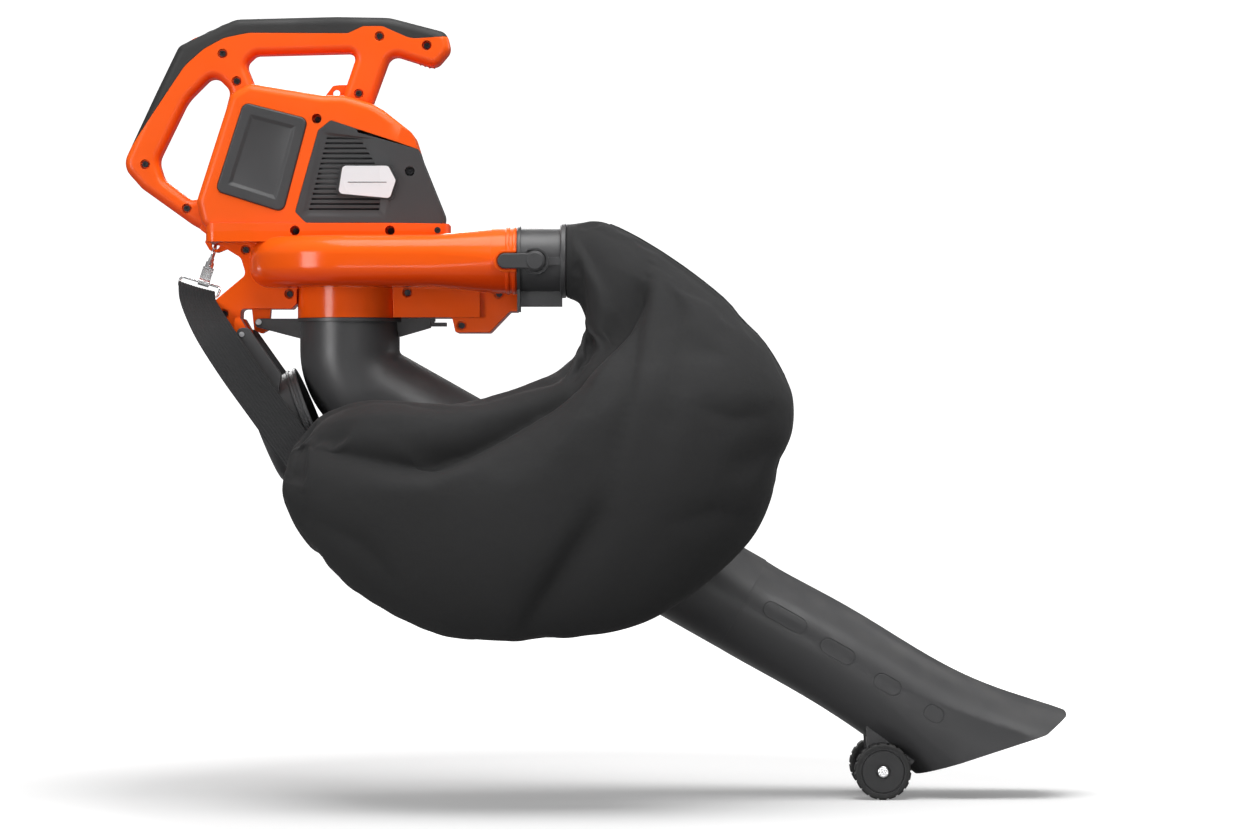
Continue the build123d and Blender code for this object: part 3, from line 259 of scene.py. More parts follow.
def bag_cloth(name, colour):
    """Dark polyester bag cloth: plain weave, soft crumples, lint, and painted shade in the folds."""
    surface = Surface(name, 1.0 * MM)
    tree = surface.tree
    place = surface.position
    split = add_node(tree, "ShaderNodeSeparateXYZ", {"Vector": place})
    weave = woven_height(tree, split.outputs["X"], split.outputs["Z"], 1.3 * MM)
    blotches = noise_value(tree, place, 8, 4)
    colour_now = mix_colour(tree, spread(tree, blotches, 0.3, 0.7, 0, 1), shade(colour, 0.86),
                            shade(colour, 1.16))
    colour_now = mix_colour(tree, maths(tree, "MULTIPLY", weave, 0.25), colour_now, shade(colour, 1.6))
    # Painted shade: the cloth is darkened where the folds press in, standing in for the shade inside them.
    fold_shade_depth = add_node(tree, "ShaderNodeAttribute", attribute_name="fold_shade_depth").outputs["Fac"]
    painted_fold_shade = spread(tree, fold_shade_depth, 2 * MM, 26 * MM, 0.0, 0.85)
    colour_now = mix_colour(tree, painted_fold_shade, colour_now, shade(colour, 0.32))
    lint = spread(tree, noise_value(tree, place, 420, 3, 0.7), 0.7, 0.78, 0.0, 0.10)
    colour_now = mix_colour(tree, lint, colour_now, (0.2, 0.19, 0.17, 1.0))
    crumple = noise_value(tree, place, 34, 4, 0.55)
    soft = bump(tree, crumple, 1.1 * MM)
    normal = bump(tree, weave, 0.12 * MM, soft)
    rough = spread(tree, blotches, 0.3, 0.7, 0.72, 0.86)
    return surface.output(**{"Base Color": colour_now, "Roughness": rough, "Normal": normal,
                             "Sheen Weight": 0.03, "Sheen Roughness": 0.4,
                             "Specular IOR Level": 0.22})


def webbing(name, colour):
    """Ribbed strap webbing: fine cross rows between the woven ribs, frayed lighter at the edges."""
    surface = Surface(name, 0.4 * MM)
    tree = surface.tree
    place = surface.position
    rows = maths(tree, "SINE", maths(tree, "MULTIPLY", add_node(
        tree, "ShaderNodeSeparateXYZ", {"Vector": place}).outputs["Z"], 2 * math.pi / (1.6 * MM)))
    fibres = noise_value(tree, place, 900, 3, 0.7)
    colour_now = mix_colour(tree, fibres, shade(colour, 0.6), shade(colour, 1.7))
    worn = maths(tree, "MULTIPLY", surface.edge_mask(), 0.35)
    colour_now = mix_colour(tree, worn, colour_now, (0.09, 0.09, 0.09, 1.0))
    height = maths(tree, "ADD", maths(tree, "MULTIPLY", rows, 0.35), fibres)
    normal = bump(tree, height, 0.2 * MM, surface.edge_normal)
    return surface.output(**{"Base Color": colour_now, "Roughness": 0.72, "Normal": normal,
                             "Sheen Weight": 0.1, "Specular IOR Level": 0.3})


def copper_winding(name, colour):
    """Enamelled wire: narrow turns with a lacquer coat."""
    surface = Surface(name, 0.4 * MM)
    tree = surface.tree
    split = add_node(tree, "ShaderNodeSeparateXYZ", {"Vector": surface.position})
    turns = maths(tree, "SINE", maths(tree, "MULTIPLY", split.outputs["Z"], 2 * math.pi / (0.9 * MM)))
    stain = noise_value(tree, surface.position, 70, 4)
    colour_now = mix_colour(tree, stain, shade(colour, 0.7), shade(colour, 1.1))
    normal = bump(tree, turns, 0.15 * MM, surface.edge_normal)
    rough = spread(tree, stain, 0.3, 0.7, 0.25, 0.4)
    return surface.output(**{"Base Color": colour_now, "Roughness": rough, "Metallic": 0.85,
                             "Normal": normal, "Coat Weight": 0.4})


FINISHES = {
    "orange": orange_shell("orange_housing", (0.92, 0.116, 0.006)),
    "soft_grip": soft_rubber("grip_rubber", (0.022, 0.022, 0.022)),
    "dark_plastic": moulded("dark_housing_plastic", (0.042, 0.042, 0.044), 0.46, 1300, 0.09),
    "tube_plastic": moulded("tube_plastic", (0.048, 0.048, 0.050), 0.38, 1700, 0.05, wear=0.2),
    "hub_plastic": moulded("hub_plastic", (0.024, 0.024, 0.025), 0.42, 1400, 0.06, wear=0.3),
    "adapter_plastic": moulded("adapter_plastic", (0.050, 0.050, 0.052), 0.34, 1700, 0.05, wear=0.2),
    "badge_frame_plastic": moulded("badge_frame_plastic", (0.030, 0.030, 0.031), 0.34, 1600, 0.04),
    "badge": moulded("satin_silver", (0.74, 0.75, 0.77), 0.28, 1800, 0.03, wear=0.1, edge=0.4),
    "battery_case": moulded("battery_plastic", (0.035, 0.035, 0.037), 0.5, 1200, 0.1),
    "board": moulded("board_lacquer", (0.012, 0.10, 0.04), 0.3, 600, 0.08, coat=0.5),
    "steel": metal("turned_steel", (0.56, 0.56, 0.57), 0.28, bands=0.02),
    "black_steel": metal("black_screw_steel", (0.055, 0.055, 0.058), 0.38),
    "chrome": metal("polished_chrome", (0.90, 0.90, 0.91), 0.20, scratches=0.2),
    "aluminium": metal("machined_aluminium", (0.72, 0.72, 0.73), 0.35, bands=0.03),
    "fan_plastic": moulded("fan_nylon", (0.09, 0.09, 0.09), 0.42, 900, 0.08),
    "copper": copper_winding("enamelled_copper", (0.62, 0.24, 0.09)),
    "tyre": moulded("tyre_rubber", (0.020, 0.020, 0.020), 0.62, 700, 0.16, wear=0.5),
    "bag_cloth": bag_cloth("bag_cloth", (0.021, 0.021, 0.0215)),
    "webbing": webbing("strap_webbing_weave", (0.016, 0.016, 0.017)),
    "wire": moulded("cable_jacket", (0.02, 0.02, 0.02), 0.4, 500, 0.05),
}


# ---------------------------------------------------------- carried-over nodes

def smooth_by_angle(angle):
    """Node group that shades a tessellated CAD surface smooth, keeping edges sharper than angle."""
    group = bpy.data.node_groups.new("smooth_by_angle", "GeometryNodeTree")
    group.interface.new_socket("Geometry", in_out="INPUT", socket_type="NodeSocketGeometry")
    group.interface.new_socket("Geometry", in_out="OUTPUT", socket_type="NodeSocketGeometry")
    start = group.nodes.new("NodeGroupInput").outputs[0]
    merged = add_node(group, "GeometryNodeMergeByDistance", {"Geometry": start, "Distance": 1e-6})
    plain = add_node(group, "GeometryNodeRemoveAttribute",
                     {"Geometry": merged.outputs[0], "Name": "custom_normal"})
    faces = add_node(group, "GeometryNodeSetShadeSmooth", {"Geometry": plain.outputs[0]}, domain="FACE")
    turn = add_node(group, "GeometryNodeInputMeshEdgeAngle").outputs["Unsigned Angle"]
    flat = add_node(group, "FunctionNodeCompare", {0: turn, 1: angle}, operation="LESS_THAN")
    edges = add_node(group, "GeometryNodeSetShadeSmooth",
                     {"Geometry": faces.outputs[0], "Shade Smooth": flat.outputs[0]}, domain="EDGE")
    end = group.nodes.new("NodeGroupOutput")
    group.links.new(edges.outputs[0], end.inputs[0])
    return group


SMOOTHING = smooth_by_angle(SMOOTH_BELOW)


def shade_smooth(piece):
    piece.modifiers.new("smooth", "NODES").node_group = SMOOTHING


def dress(piece, finish):
    piece.data.materials.clear()
    piece.data.materials.append(finish)


# Nodes whose own colour differs a little from the rest of their material slot.
OWN_FINISH = {
    "right_wheel_hub": "hub_plastic", "left_wheel_hub": "hub_plastic", "bag_adapter": "adapter_plastic",
    "badge_plate": "badge_frame_plastic",
}


def dress_cad_nodes():
    for part in frame["record"]["subparts"]:
        name = part["node"]
        dress(NODES[name], FINISHES[OWN_FINISH.get(name, part["material_slot"])])
        shade_smooth(NODES[name])


dress_cad_nodes()


# --------------------------------------------------------------- mesh helpers

def new_piece(name, verts, faces, finish, smooth=True):
    mesh = bpy.data.meshes.new(name)
    mesh.from_pydata([tuple(v) for v in verts], [], faces)
    mesh.update()
    piece = bpy.data.objects.new(name, mesh)
    bpy.context.scene.collection.objects.link(piece)
    mesh.materials.append(finish)
    if smooth:
        mesh.shade_smooth()
    return piece


def spline(points, share):
    """Point at a share 0…1 along a smooth curve through the given points (Catmull-Rom)."""
    spans = len(points) - 1
    place = min(max(share, 0.0), 1.0) * spans
    index = min(int(place), spans - 1)
    t = place - index
    p1 = Vector(points[index])
    p2 = Vector(points[index + 1])
    p0 = Vector(points[index - 1]) if index > 0 else 2 * p1 - p2
    p3 = Vector(points[index + 2]) if index + 2 <= spans else 2 * p2 - p1
    slope1 = (p2 - p0) / 2
    slope2 = (p3 - p1) / 2
    return ((2 * t**3 - 3 * t**2 + 1) * p1 + (t**3 - 2 * t**2 + t) * slope1
            + (-2 * t**3 + 3 * t**2) * p2 + (t**3 - t**2) * slope2)


def ring_faces(rings, around, first=0):
    """Quads joining consecutive closed rings of points."""
    faces = []
    for ring in range(rings - 1):
        for step in range(around):
            a = first + ring * around + step
            b = first + ring * around + (step + 1) % around
            faces.append((a, b, b + around, a + around))
    return faces


# -------------------------------------------------------------- collection bag

def middle(node):
    low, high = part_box(node)
    return (low + high) / 2


COLLAR_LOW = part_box("bag_collar_ring")[0]
MOUTH = Vector((COLLAR_LOW.x, middle("bag_collar_ring").y, middle("bag_collar_ring").z))

# Each station runs across the bag, from its outer edge to its inner edge. Measured from the mouth:
# outer (x, z), inner (x, z), then the middle's depth y and half the bag's thickness there.
BAG_STATIONS = [
    ((0.000, 0.0430), (0.0000, -0.0430), 0.000, 0.043),
    ((0.052, 0.0420), (0.0145, -0.0510), -0.014, 0.051),
    ((0.139, -0.010), (0.0230, -0.0760), -0.042, 0.068),
    ((0.217, -0.080), (0.0175, -0.0990), -0.068, 0.085),
    ((0.262, -0.165), (0.0030, -0.1200), -0.090, 0.099),
    ((0.244, -0.252), (-0.0200, -0.1350), -0.097, 0.105),
    ((0.204, -0.333), (-0.0525, -0.1470), -0.099, 0.107),
    ((0.103, -0.412), (-0.0990, -0.1620), -0.100, 0.107),
    ((-0.006, -0.4386), (-0.1344, -0.1682), -0.100, 0.106),
    ((-0.099, -0.440), (-0.1700, -0.1665), -0.0995, 0.103),
    ((-0.162, -0.427), (-0.1930, -0.1636), -0.0985, 0.099),
    ((-0.235, -0.389), (-0.2310, -0.1640), -0.094, 0.087),
    ((-0.282, -0.348), (-0.2660, -0.1745), -0.085, 0.071),
    ((-0.3105, -0.314), (-0.2910, -0.1895), -0.078, 0.055),
    ((-0.329, -0.275), (-0.3170, -0.2185), -0.072, 0.032),
]
BAG_TIP = (-0.3325, -0.070, -0.2464)
BAG_RINGS = 200
BAG_AROUND = 144
HELD_RINGS = 4               # rings clamped in the collar
NECK_CLEAR = 0.045           # folds start this far from the mouth
NECK_FADE = 0.05
CLOTH_FRAMES = 20
CLOTH_REACH = 5 * MM         # the furthest a wrinkle may move the cloth
SKIN = 1.2 * MM
# Dents in the outer rim: the share of the bag's length where each one is, and its depth in millimetres.
RIM_NOTCHES = [(0.205, 5.0), (0.345, 5.5), (0.585, 4.0), (0.86, 5.0)]
NOTCH_WIDTH = 0.011
SWELL_SCALE = 11             # broad swells over the whole bag: how close together, how high, and where
SWELL_HEIGHT = 1.8 * MM
SWELL_SHIFT = Vector((3.1, 0.7, 5.2))
FOLD_SHARPNESS = 1.25
FOLD_END = 0.03
SEAM_RADIUS = 1.3 * MM
SEAM_FIRST_RING = 14


def bag_columns():
    """The stations as smooth columns: outer edge, inner edge and (depth, half thickness)."""
    outer = [station[0] for station in BAG_STATIONS]
    inner = [station[1] for station in BAG_STATIONS]
    depth = [station[2:] for station in BAG_STATIONS]
    return outer, inner, depth


def plumpness(share):
    """Exponent of the cross-section: round at the neck, fuller along the body."""
    return 2.0 + 0.35 * math.sin(math.pi * min(1.0, share * 1.1))


def bag_ring(columns, share):
    """One ring of the bag: a rounded, slightly full oval across the two edges."""
    outer, inner, depth = (spline(column, share) for column in columns)
    centre = (outer + inner) / 2
    reach = (outer - inner) / 2
    notch = sum(size * MM * math.exp(-((share - place) / NOTCH_WIDTH) ** 2) for place, size in RIM_NOTCHES)
    power = 2 / plumpness(share)
    ring = []
    for step in range(BAG_AROUND):
        angle = 2 * math.pi * step / BAG_AROUND
        c = math.cos(angle)
        s = math.sin(angle)
        wide = math.copysign(abs(c) ** power, c)
        deep = math.copysign(abs(s) ** power, s)
        pinch = 1 - notch / reach.length * max(0.0, c) ** 8
        place = centre + reach * wide * pinch
        ring.append(MOUTH + Vector((place.x, depth.x - depth.y * deep, place.y)))
    return ring


# Folds seen on the side facing the operator. Each is a line of (x, z) from the mouth, then how deep
# and how wide it is on either side, in millimetres. Positive depth is a valley.
NEAR_FOLDS = [
    ([(0.094, -0.020), (0.084, -0.046), (0.066, -0.076), (0.036, -0.112), (-0.001, -0.150),
      (-0.044, -0.180)], 20, 24, 7),
    ([(0.010, -0.140), (-0.040, -0.173), (-0.075, -0.194), (-0.115, -0.215), (-0.150, -0.227),
      (-0.185, -0.229), (-0.240, -0.223), (-0.300, -0.214)], 31, 23, 17),
    ([(0.096, -0.010), (0.089, -0.040), (0.078, -0.117), (0.065, -0.199), (0.052, -0.270)], 9, 20, 8),
    ([(0.045, -0.275), (0.024, -0.314), (-0.017, -0.380), (-0.052, -0.436)], 14, 12, 22),
    ([(0.058, -0.060), (0.028, -0.100), (-0.014, -0.136)], 7, 9, 6),
    ([(0.120, -0.020), (0.128, -0.070), (0.124, -0.140), (0.112, -0.220)], 6, 22, 12),
    ([(-0.290, -0.300), (-0.230, -0.330), (-0.180, -0.385)], 6, 14, 22),
    ([(0.225, -0.300), (0.170, -0.290), (0.120, -0.305)], 5, 12, 18),
    ([(0.240, -0.180), (0.190, -0.185), (0.150, -0.170)], 5, 12, 18),
]
RIDGES = [
    ([(-0.285, -0.192), (-0.220, -0.184), (-0.150, -0.184), (-0.090, -0.176), (-0.045, -0.160)],
     -8, 14, 13),
    ([(-0.040, -0.200), (-0.090, -0.228), (-0.150, -0.262), (-0.230, -0.262)], -6, 12, 22),
    ([(0.060, -0.100), (0.030, -0.160), (-0.020, -0.240)], -6, 12, 20),
]
FAR_FOLDS = [
    ([(0.100, -0.030), (0.090, -0.110), (0.120, -0.200)], 10, 12, 24),
    ([(-0.230, -0.300), (-0.120, -0.330), (-0.020, -0.390)], 11, 14, 26),
    ([(0.030, -0.150), (-0.060, -0.210), (-0.160, -0.230)], 10, 16, 22),
    ([(0.200, -0.200), (0.150, -0.300), (0.060, -0.380)], 8, 16, 24),
]


def fold_profile(x, z, fold):
    """How far one fold pushes the cloth in at (x, z), fading towards both ends of its line."""
    line, depth, left_width, right_width = fold
    spans = len(line) - 1
    nearest = None
    for number in range(spans):
        ax, az = line[number]
        bx, bz = line[number + 1]
        length = math.hypot(bx - ax, bz - az)
        along = ((x - ax) * (bx - ax) + (z - az) * (bz - az)) / length**2
        held = min(1.0, max(0.0, along))
        px = x - ax - held * (bx - ax)
        pz = z - az - held * (bz - az)
        distance = math.hypot(px, pz)
        if nearest is None or distance < nearest[0]:
            side = px * (bz - az) - pz * (bx - ax)
            nearest = (distance, side, (number + held) / spans)
    distance, side, share = nearest
    width = (left_width if side > 0 else right_width) * MM
    fade = math.sin(math.pi * min(1 - FOLD_END, max(FOLD_END, share))) ** 0.6
    return depth * MM * fade * math.exp(-((distance / width) ** FOLD_SHARPNESS))


def press_folds(bag):
    """Moves each bag point in along its normal by the folds on its own side.

    How deep each point lies in a fold is kept for the cloth finish, which paints shade there.
    """
    vertices = bag.data.vertices
    fold_shade_depth = bag.data.attributes.new("fold_shade_depth", "FLOAT", "POINT")
    depths = []
    moved = []
    for vertex in vertices:
        point = vertex.co.copy()
        normal = vertex.normal.copy()
        facing = -normal.y
        folds = NEAR_FOLDS + RIDGES if facing > 0 else FAR_FOLDS
        local = point - MOUTH
        push = sum(fold_profile(local.x, local.z, fold) for fold in folds)
        broad = noise.noise(point * SWELL_SCALE + SWELL_SHIFT) * SWELL_HEIGHT
        fade = min(1.0, max(0.0, (local.length - NECK_CLEAR) / NECK_FADE))
        edge_fade = min(1.0, abs(facing) * 1.6)
        moved.append(point - normal * (push - broad) * edge_fade * fade)
        # How deep the point lies in a fold, kept for the painted fold shade in the cloth finish.
        depths.append(max(0.0, push) * edge_fade * fade)
    for vertex, place in zip(vertices, moved):
        vertex.co = place
    fold_shade_depth.data.foreach_set("value", depths)
    bag.data.update()


def simulate_cloth(piece, pinned, cap):
    """Inflates the cloth a little so that it wrinkles, then holds each point within cap of its start."""
    start = [v.co.copy() for v in piece.data.vertices]
    group = piece.vertex_groups.new(name="held")
    group.add(pinned, 1.0, "REPLACE")
    cloth = piece.modifiers.new("cloth", "CLOTH")
    settings = cloth.settings
    settings.quality = 6
    settings.mass = 0.25
    settings.tension_stiffness = 18
    settings.compression_stiffness = 18
    settings.shear_stiffness = 8
    settings.bending_stiffness = 1.5
    settings.shrink_min = -0.02
    settings.use_pressure = True
    settings.uniform_pressure_force = 0.4
    settings.vertex_group_mass = "held"
    settings.pin_stiffness = 1.0
    settings.effector_weights.gravity = 0.0
    cloth.collision_settings.use_collision = False
    scene = bpy.context.scene
    for number in range(1, CLOTH_FRAMES + 1):
        scene.frame_set(number)
    evaluated = piece.evaluated_get(bpy.context.evaluated_depsgraph_get())
    ends = [v.co.copy() for v in evaluated.data.vertices]
    piece.modifiers.remove(cloth)
    scene.frame_set(1)
    for vertex, before, after in zip(piece.data.vertices, start, ends):
        step = after - before
        if step.length > cap:
            step *= cap / step.length
        vertex.co = before + step
    piece.data.update()


def relax(piece, held, rounds, strength):
    """Averages each point with its neighbours, which takes out facets and keeps the wrinkles."""
    mesh = bmesh.new()
    mesh.from_mesh(piece.data)
    mesh.verts.ensure_lookup_table()
    free = [v for v in mesh.verts if v.index not in held]
    for number in range(rounds):
        bmesh.ops.smooth_vert(mesh, verts=free, factor=strength, use_axis_x=True, use_axis_y=True,
                              use_axis_z=True)
    mesh.to_mesh(piece.data)
    mesh.free()


def build_bag():
    """Lofts the bag, lets the cloth wrinkle a little, then presses its main folds in."""
    columns = bag_columns()
    verts = []
    for ring in range(BAG_RINGS):
        verts += bag_ring(columns, ring / (BAG_RINGS - 1))
    faces = ring_faces(BAG_RINGS, BAG_AROUND)
    tip = len(verts)
    verts.append(MOUTH + Vector(BAG_TIP))
    last = (BAG_RINGS - 1) * BAG_AROUND
    for step in range(BAG_AROUND):
        faces.append((last + step, last + (step + 1) % BAG_AROUND, tip))
    bag = new_piece("collection_bag_cloth", verts, faces, FINISHES["bag_cloth"])
    held = list(range(HELD_RINGS * BAG_AROUND))
    relax(bag, set(held), 3, 0.5)
    edges = [ring * BAG_AROUND + step for ring in range(HELD_RINGS, BAG_RINGS)
             for step in (0, 1, BAG_AROUND - 1, BAG_AROUND // 2)]
    simulate_cloth(bag, held + edges + [tip], CLOTH_REACH)
    relax(bag, set(held), 2, 0.5)
    press_folds(bag)
    relax(bag, set(held), 1, 0.4)
    return bag


FLAT_DEPTH = 35 * MM          # how much of the far side is flattened
FLAT_FROM = 0.12             # from this far behind the mouth
FLAT_KEEP = 0.15             # share of its roundness that the flat part keeps


def keep_clear_of_tube(bag):
    """Flattens the far side where it rests beside the suction tube."""
    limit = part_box("collection_bag")[1].y - FLAT_DEPTH
    for vertex in bag.data.vertices:
        local = vertex.co - MOUTH
        if local.length > FLAT_FROM and vertex.co.y > limit:
            vertex.co.y = limit - (limit - vertex.co.y) * FLAT_KEEP
    bag.data.update()


def rim_line(bag):
    """Points along the seam on the bag's outer edge."""
    rings = range(SEAM_FIRST_RING, BAG_RINGS, 2)
    return [bag.data.vertices[ring * BAG_AROUND].co.copy() for ring in rings]


def tube_along(name, points, radius, finish, sides=8):
    """A round cord through the points, closed at both ends."""
    verts = []
    up = Vector((0, 1, 0))
    for number, point in enumerate(points):
        before = points[max(number - 1, 0)]
        after = points[min(number + 1, len(points) - 1)]
        along = (after - before).normalized()
        side = along.cross(up).normalized()
        other = side.cross(along).normalized()
        for step in range(sides):
            angle = 2 * math.pi * step / sides
            verts.append(point + side * math.cos(angle) * radius + other * math.sin(angle) * radius)
    faces = ring_faces(len(points), sides)
    faces.append(tuple(range(sides)))
    faces.append(tuple(range(len(verts) - 1, len(verts) - sides - 1, -1)))
    return new_piece(name, verts, faces, finish)


bag = build_bag()
keep_clear_of_tube(bag)
outer_seam = tube_along("bag_outer_seam", rim_line(bag), SEAM_RADIUS, FINISHES["bag_cloth"])
smoother = bag.modifiers.new("smoother", "SUBSURF")
smoother.levels = 1
smoother.render_levels = 1
thickness = bag.modifiers.new("thickness", "SOLIDIFY")
thickness.thickness = SKIN
thickness.offset = -1
for soft in (bag, outer_seam):
    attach(soft, "bag")
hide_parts("collection_bag")


# -------------------------------------------------------------- shoulder strap

RING_LOW, RING_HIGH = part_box("rectangular_ring")
RING_LEAN = Vector((0.9598, 0.0, -0.2806))
STRAP_TOP = Vector(((RING_LOW.x + RING_HIGH.x) / 2 - 2.0 * MM, RING_LOW.y + 1.6 * MM,
                    RING_LOW.z + 8.6 * MM))
# The webbing goes behind the ring's lower bar, over it and down to the back of the bag.
STRAP_DROP = [(0.0012, 0.0006, -0.014), (-0.0010, 0.0034, -0.004), (-0.0012, 0.0010, 0.0032),
              (-0.0010, -0.0034, 0.0012), (0.0016, -0.0092, -0.012), (0.0140, -0.0250, -0.036),
              (0.0300, -0.0400, -0.061), (0.0560, -0.0500, -0.099), (0.0840, -0.0545, -0.137),
              (0.1120, -0.0585, -0.175), (0.1350, -0.0640, -0.206), (0.1660, -0.0920, -0.246)]
STRAP_TURNS_FROM = 0.2       # the webbing lies along the ring's bar up to here, then turns square
STRAP_TURN_LENGTH = 0.45     # to its own run over this share of its length
STRAP_SWAY = 0.0012
STRAP_SWAY_TURN = 21
STRAP_CUP = 0.0014
RIB_HEIGHT = 0.00022
STRAP_WIDTH = 0.045
STRAP_THICK = 0.0022
STRAP_RIBS = 13
STRAP_ROWS = 140


def webbing_outline():
    """Cross-section of the webbing: ribbed faces and rounded woven edges."""
    points = []
    steps = STRAP_RIBS * 6
    for side in (1, -1):
        for step in range(steps + 1):
            share = step / steps
            across = side * (share - 0.5) * STRAP_WIDTH
            rib = RIB_HEIGHT * math.cos(2 * math.pi * STRAP_RIBS * share)
            edge = min(1.0, min(share, 1 - share) * 40) ** 0.5
            points.append((across, side * (STRAP_THICK / 2 * (0.35 + 0.65 * edge) - rib * edge)))
    return points


def build_strap():
    """Sweeps the webbing's cross-section down the strap's path, slightly cupped and swaying."""
    outline = webbing_outline()
    verts = []
    for row in range(STRAP_ROWS):
        share = row / (STRAP_ROWS - 1)
        point = STRAP_TOP + spline(STRAP_DROP, share)
        ahead = STRAP_TOP + spline(STRAP_DROP, min(1.0, share + 0.01))
        behind = STRAP_TOP + spline(STRAP_DROP, max(0.0, share - 0.01))
        along = (ahead - behind).normalized()
        square = along.cross(Vector((0, 1, 0))).normalized()
        turned = min(1.0, max(0.0, share - STRAP_TURNS_FROM) / STRAP_TURN_LENGTH)
        across = RING_LEAN.lerp(square, turned * turned * (3 - 2 * turned)).normalized()
        out = across.cross(along).normalized()
        sway = STRAP_SWAY * math.sin(share * STRAP_SWAY_TURN) * math.sin(math.pi * share)
        for width, height in outline:
            cup = STRAP_CUP * math.cos(math.pi * width / STRAP_WIDTH) * math.sin(math.pi * share)
            verts.append(point + across * width + out * (height + sway + cup))
    around = len(outline)
    faces = ring_faces(STRAP_ROWS, around)
    faces.append(tuple(range(around)))
    faces.append(tuple(range(len(verts) - 1, len(verts) - around - 1, -1)))
    return new_piece("strap_ribbed_webbing", verts, faces, FINISHES["webbing"])


strap = build_strap()
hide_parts("strap_webbing")
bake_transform(strap)


# ------------------------------------------------------- moulded and fitted details

def scaled_copy(node, name, finish, share, low_y, high_y):
    """A plate with the outline of a CAD plate's face, shrunk about its middle, between two depths."""
    face = convex_outline(NODES[node])
    centre = middle(node)
    verts = []
    for y in (low_y, high_y):
        for x, z in face:
            verts.append((centre.x + (x - centre.x) * share, y, centre.z + (z - centre.z) * share))
    count = len(face)
    faces = [tuple(range(count)), tuple(range(2 * count - 1, count - 1, -1))]
    faces += [(n, n + count, (n + 1) % count + count, (n + 1) % count) for n in range(count)]
    return new_piece(name, verts, faces, finish, smooth=False)


def convex_outline(node):
    """Corner points of a node's outline seen along Y, in order."""
    points = sorted({(round(v.co.x, 5), round(v.co.z, 5)) for v in node.data.vertices})
    chains = []
    for run in (points, points[::-1]):
        chain = []
        for point in run:
            while len(chain) > 1 and turns_left(chain[-2], chain[-1], point) <= 0:
                chain.pop()
            chain.append(point)
        chains.append(chain[:-1])
    return chains[0] + chains[1]


def turns_left(a, b, c):
    return (b[0] - a[0]) * (c[1] - a[1]) - (b[1] - a[1]) * (c[0] - a[0])


def rounded_bar(name, low, high, finish, edge):
    """A block with rounded edges between two corners."""
    mesh = bmesh.new()
    bmesh.ops.create_cube(mesh, size=1)
    size = Vector(high) - Vector(low)
    for vertex in mesh.verts:
        vertex.co = Vector(low) + Vector((vertex.co[n] + 0.5) * size[n] for n in range(3))
    bmesh.ops.bevel(mesh, geom=mesh.edges[:], offset=edge, segments=2, affect="EDGES")
    piece = new_piece(name, [v.co.copy() for v in mesh.verts],
                      [[v.index for v in f.verts] for f in mesh.faces], finish)
    mesh.free()
    return piece


def on_body(piece, body):
    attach(piece, body)
    return piece


BADGE_FACE_SHARE = 0.90
BADGE_LINE_SHARE = 0.62


def build_badge():
    """Silver face inside the dark frame, with one plain line across it and nothing printed on it."""
    low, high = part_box("badge_plate")
    face = scaled_copy("badge_plate", "badge_face", FINISHES["badge"], BADGE_FACE_SHARE,
                       low.y - 0.5 * MM, low.y + 0.4 * MM)
    on_body(face, "housing")
    centre = middle("badge_plate")
    reach = (high.x - low.x) * BADGE_LINE_SHARE / 2
    line = rounded_bar("badge_line", (centre.x - reach, low.y - 0.75 * MM, centre.z - 0.8 * MM),
                       (centre.x + reach, low.y - 0.3 * MM, centre.z),
                       FINISHES["black_steel"], 0.1 * MM)
    on_body(line, "housing")


SCREEN_INSET = 6.2 * MM
SCREEN_THICK = 1.0 * MM
SCREEN_REAR = 10 * MM         # margins inside the motor cover's box
SCREEN_FRONT = 74 * MM
SCREEN_BELOW = 8 * MM
SCREEN_ABOVE = 14 * MM


def build_screens():
    """Thin dark dust screens close behind the cooling slots of both motor covers."""
    for side, node in (("right", "right_motor_grille"), ("left", "left_motor_grille")):
        low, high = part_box(node)
        if side == "right":
            outer, inner = low.y + SCREEN_INSET, low.y + SCREEN_INSET + SCREEN_THICK
        else:
            outer, inner = high.y - SCREEN_INSET, high.y - SCREEN_INSET - SCREEN_THICK
        screen = rounded_bar(f"{side}_dust_screen",
                             (low.x + SCREEN_REAR, min(outer, inner), low.z + SCREEN_BELOW),
                             (high.x - SCREEN_FRONT, max(outer, inner), high.z - SCREEN_ABOVE),
                             FINISHES["battery_case"], 0.3 * MM)
        on_body(screen, "housing")


def height_under(node, x, y, start):
    """Height of the first surface of a CAD node straight above a point."""
    hit, place, *rest = NODES[node].ray_cast((x, y, start), (0, 0, 1))
    return place.z if hit else start


RIDGE_COUNT = 4
RIDGE_PITCH = 5.5
FIRST_RIDGE = 33.0           # behind the front end of the grip, in millimetres
RIDGE_HALF_WIDTH = 1.3 * MM
RIDGE_HALF_SPAN = 9 * MM
RIDGE_DROP = 1.1 * MM
RIDGE_ROOT = 1.5 * MM


def build_nose_ridges():
    """Small finger ridges under the front end of the handle."""
    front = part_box("handle_grip")[1].x
    for number in range(RIDGE_COUNT):
        x = front - (FIRST_RIDGE - number * RIDGE_PITCH) * MM
        z = height_under("right_housing_shell", x, -6 * MM, 0.0)
        ridge = rounded_bar(f"nose_ridge_{number + 1}",
                            (x - RIDGE_HALF_WIDTH, -RIDGE_HALF_SPAN, z - RIDGE_DROP),
                            (x + RIDGE_HALF_WIDTH, RIDGE_HALF_SPAN, z + RIDGE_ROOT),
                            FINISHES["orange"], 0.8 * MM)
        on_body(ridge, "housing")


build_badge()
build_screens()
build_nose_ridges()


# --------------------------------------------------------------------- studio

